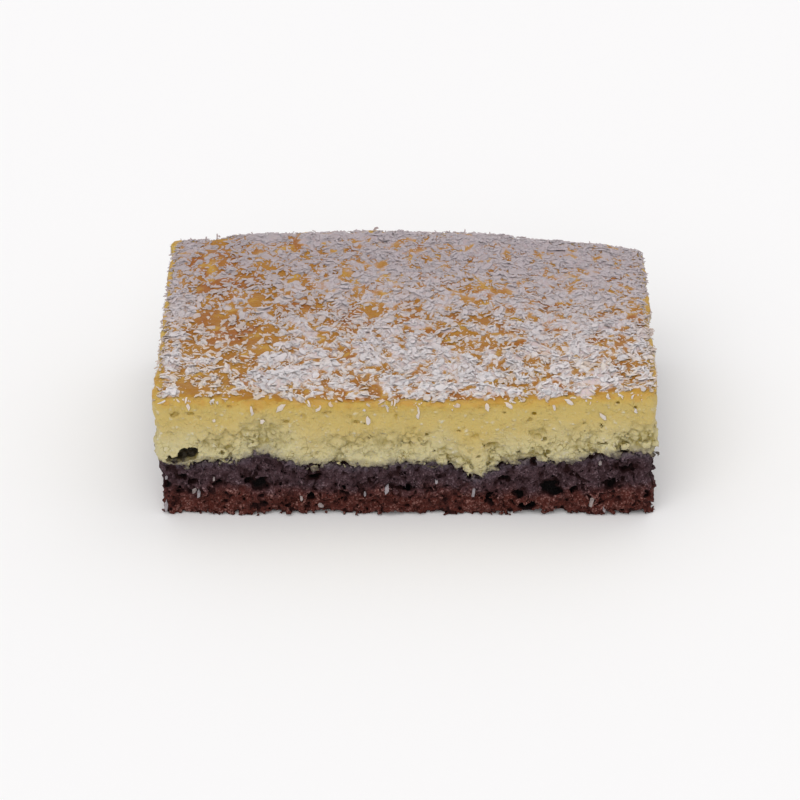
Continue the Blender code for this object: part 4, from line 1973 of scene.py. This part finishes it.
    def bury(
        self,
        pile: FlakePile,
        side: Side,
        along: float,
        height: float,
        size: Triple,
        turn: float,
    ) -> None:
        """Set one piece of coconut in a wall, facing out.

        Args:
            pile: Where it is gathered.
            side: The wall.
            along: The distance from the wall's middle.
            height: The height of its middle.
            size: Its length, width and thickness.
            turn: How far its length is turned away from straight up.
        """
        long = side.along * math.sin(turn) + np.array((0, 0, 1.0)) * math.cos(turn)
        place = side.place(self.heights.shape, along, height)
        place += side.outward * (self.sponge.stand(place) + 0.02)
        form = self.plates[self.draws.integers(self.forms)]
        axes = np.stack((long, np.cross(side.outward, long), side.outward))
        pile.add(form, place, axes, size, self.draws.random())

    def build(self) -> list[bpy.types.Object]:
        """Build the three kinds of bits.

        Returns:
            The finished pieces.
        """
        soaked, cocoa, curd = FlakePile(), FlakePile(), FlakePile()
        self.soak(soaked)
        for side in Side:
            self.crumbs(cocoa, side, self.cocoa_per_side, self.sponge_height, (0.45, 1.7))
            self.crumbs(cocoa, side, self.cocoa_at_seam, self.seam_height, (0.35, 1.0))
            self.crumbs(cocoa, side, self.cocoa_at_foot, lambda place: 0.0, (0.4, 1.1))
            self.crumbs(curd, side, self.curd_per_side, self.seam_height, (0.35, 1.3))
        soaked_piece = soaked.build("soaked_coconut", self.clear.make(), self.sponge.slot)
        cocoa_piece = cocoa.build("cocoa_crumbs", CocoaFinish().make(), self.sponge.slot)
        x, y, z = piece_points(cocoa_piece).T
        keep_reading(cocoa_piece, "rise", z)
        keep_reading(cocoa_piece, "below", self.heights.seam.at(x, y) - z)
        curd_piece = curd.build("curd_crumbs", CurdFinish().make(), self.curd.slot)
        x, y, z = piece_points(curd_piece).T
        keep_reading(curd_piece, "rise", z - self.heights.seam.at(x, y) + 0.5)
        keep_reading(curd_piece, "depth", np.full(len(z), self.curd_depth))
        for piece in (cocoa_piece, curd_piece):
            piece.data.shade_smooth()
        return [soaked_piece, cocoa_piece, curd_piece]


# Floor, light and camera


@dataclass(frozen=True)
class Lamp:
    """A far soft light.

    It has the direction from the cake to it, its strength in watts a square metre, and how wide it
    looks from the cake, in degrees.
    """

    name: str
    towards: Triple
    strength: float
    spread: float
    colour: Triple

    def hang(self) -> None:
        """Set the light in the scene."""
        data = bpy.data.lights.new(self.name, "SUN")
        data.energy = self.strength
        data.angle = math.radians(self.spread)
        data.color = self.colour
        lamp = bpy.data.objects.new(self.name, data)
        lamp.rotation_euler = (-Vector(self.towards)).to_track_quat("-Z", "Y").to_euler()
        bpy.context.scene.collection.objects.link(lamp)


@dataclass
class Studio:
    """The pale floor, the soft light and the camera."""

    floor_size: float = 12000.0
    target: Triple = (-1.6, 0.0, 8.1)
    elevation: float = 30.1
    turn: float = 0.7
    roll: float = -0.3
    distance: float = 776.7
    lens: float = 166.5
    sensor: float = 36.0
    sky: float = 0.68
    sky_colour: Triple = (1.0, 0.99, 1.0)
    lamps: tuple[Lamp, ...] = (
        Lamp("key_light", (-0.18, -0.70, 0.72), 1.25, 60, (1.0, 0.985, 0.97)),
        Lamp("fill_light", (0.30, 0.80, 0.75), 0.35, 75, (0.97, 0.98, 1.0)),
    )

    def floor(self) -> bpy.types.Object:
        """Lay the floor."""
        half = self.floor_size / 2
        corners = np.array([(-half, -half, 0), (half, -half, 0), (half, half, 0), (-half, half, 0)])
        piece = make_piece("studio_floor", corners, [(0, 1, 2, 3)])
        piece.data.materials.append(FloorFinish().make())
        return piece

    def light(self) -> None:
        """Set the sky and the lamps."""
        world = bpy.data.worlds.new("studio_sky")
        world.use_nodes = True
        background = world.node_tree.nodes["Background"]
        background.inputs["Color"].default_value = (*self.sky_colour, 1)
        background.inputs["Strength"].default_value = self.sky
        bpy.context.scene.world = world
        for lamp in self.lamps:
            lamp.hang()

    def camera(self) -> None:
        """Stand the camera in front of the cake, looking down on it."""
        rise, turn = math.radians(self.elevation), math.radians(self.turn)
        back = Vector((math.sin(turn) * math.cos(rise), -math.cos(turn) * math.cos(rise), math.sin(rise)))
        data = bpy.data.cameras.new("camera")
        data.sensor_width = self.sensor
        data.lens = self.lens
        data.clip_start = 0.01
        data.clip_end = 50.0
        camera = bpy.data.objects.new("camera", data)
        roll = Matrix.Rotation(math.radians(self.roll), 3, "Z")
        aim = (-back).to_track_quat("-Z", "Y").to_matrix() @ roll
        place = Matrix.Translation((Vector(self.target) + back * self.distance) * MM)
        camera.matrix_world = place @ aim.to_4x4()
        bpy.context.scene.collection.objects.link(camera)
        bpy.context.scene.camera = camera

    def build(self) -> None:
        """Set up the whole studio."""
        self.floor()
        self.light()
        self.camera()
        bpy.context.scene.view_settings.view_transform = "Standard"
        bpy.context.scene.view_settings.look = "None"


def report(piece: bpy.types.Object) -> None:
    """Log a piece's name and size."""
    piece.data.calc_loop_triangles()
    log.info("%s: %d triangles", piece.name, len(piece.data.loop_triangles))


def main() -> None:
    """Build the dressed cake and its studio."""
    logging.basicConfig(level=logging.INFO, format="%(name)s: %(message)s")
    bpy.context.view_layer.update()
    heights = CakeHeights(CakeShape())
    sponge = CocoaSponge(heights)
    curd = CoconutLayer(heights)
    report(sponge.build())
    report(curd.build())
    dusting = CoconutDusting(heights, curd)
    for piece in dusting.build():
        report(piece)
    report(BrownedTop(heights, dusting.bed).build())
    for piece in WallBits(sponge, curd).build():
        report(piece)
    Studio().build()


if __name__ == "__main__":
    main()
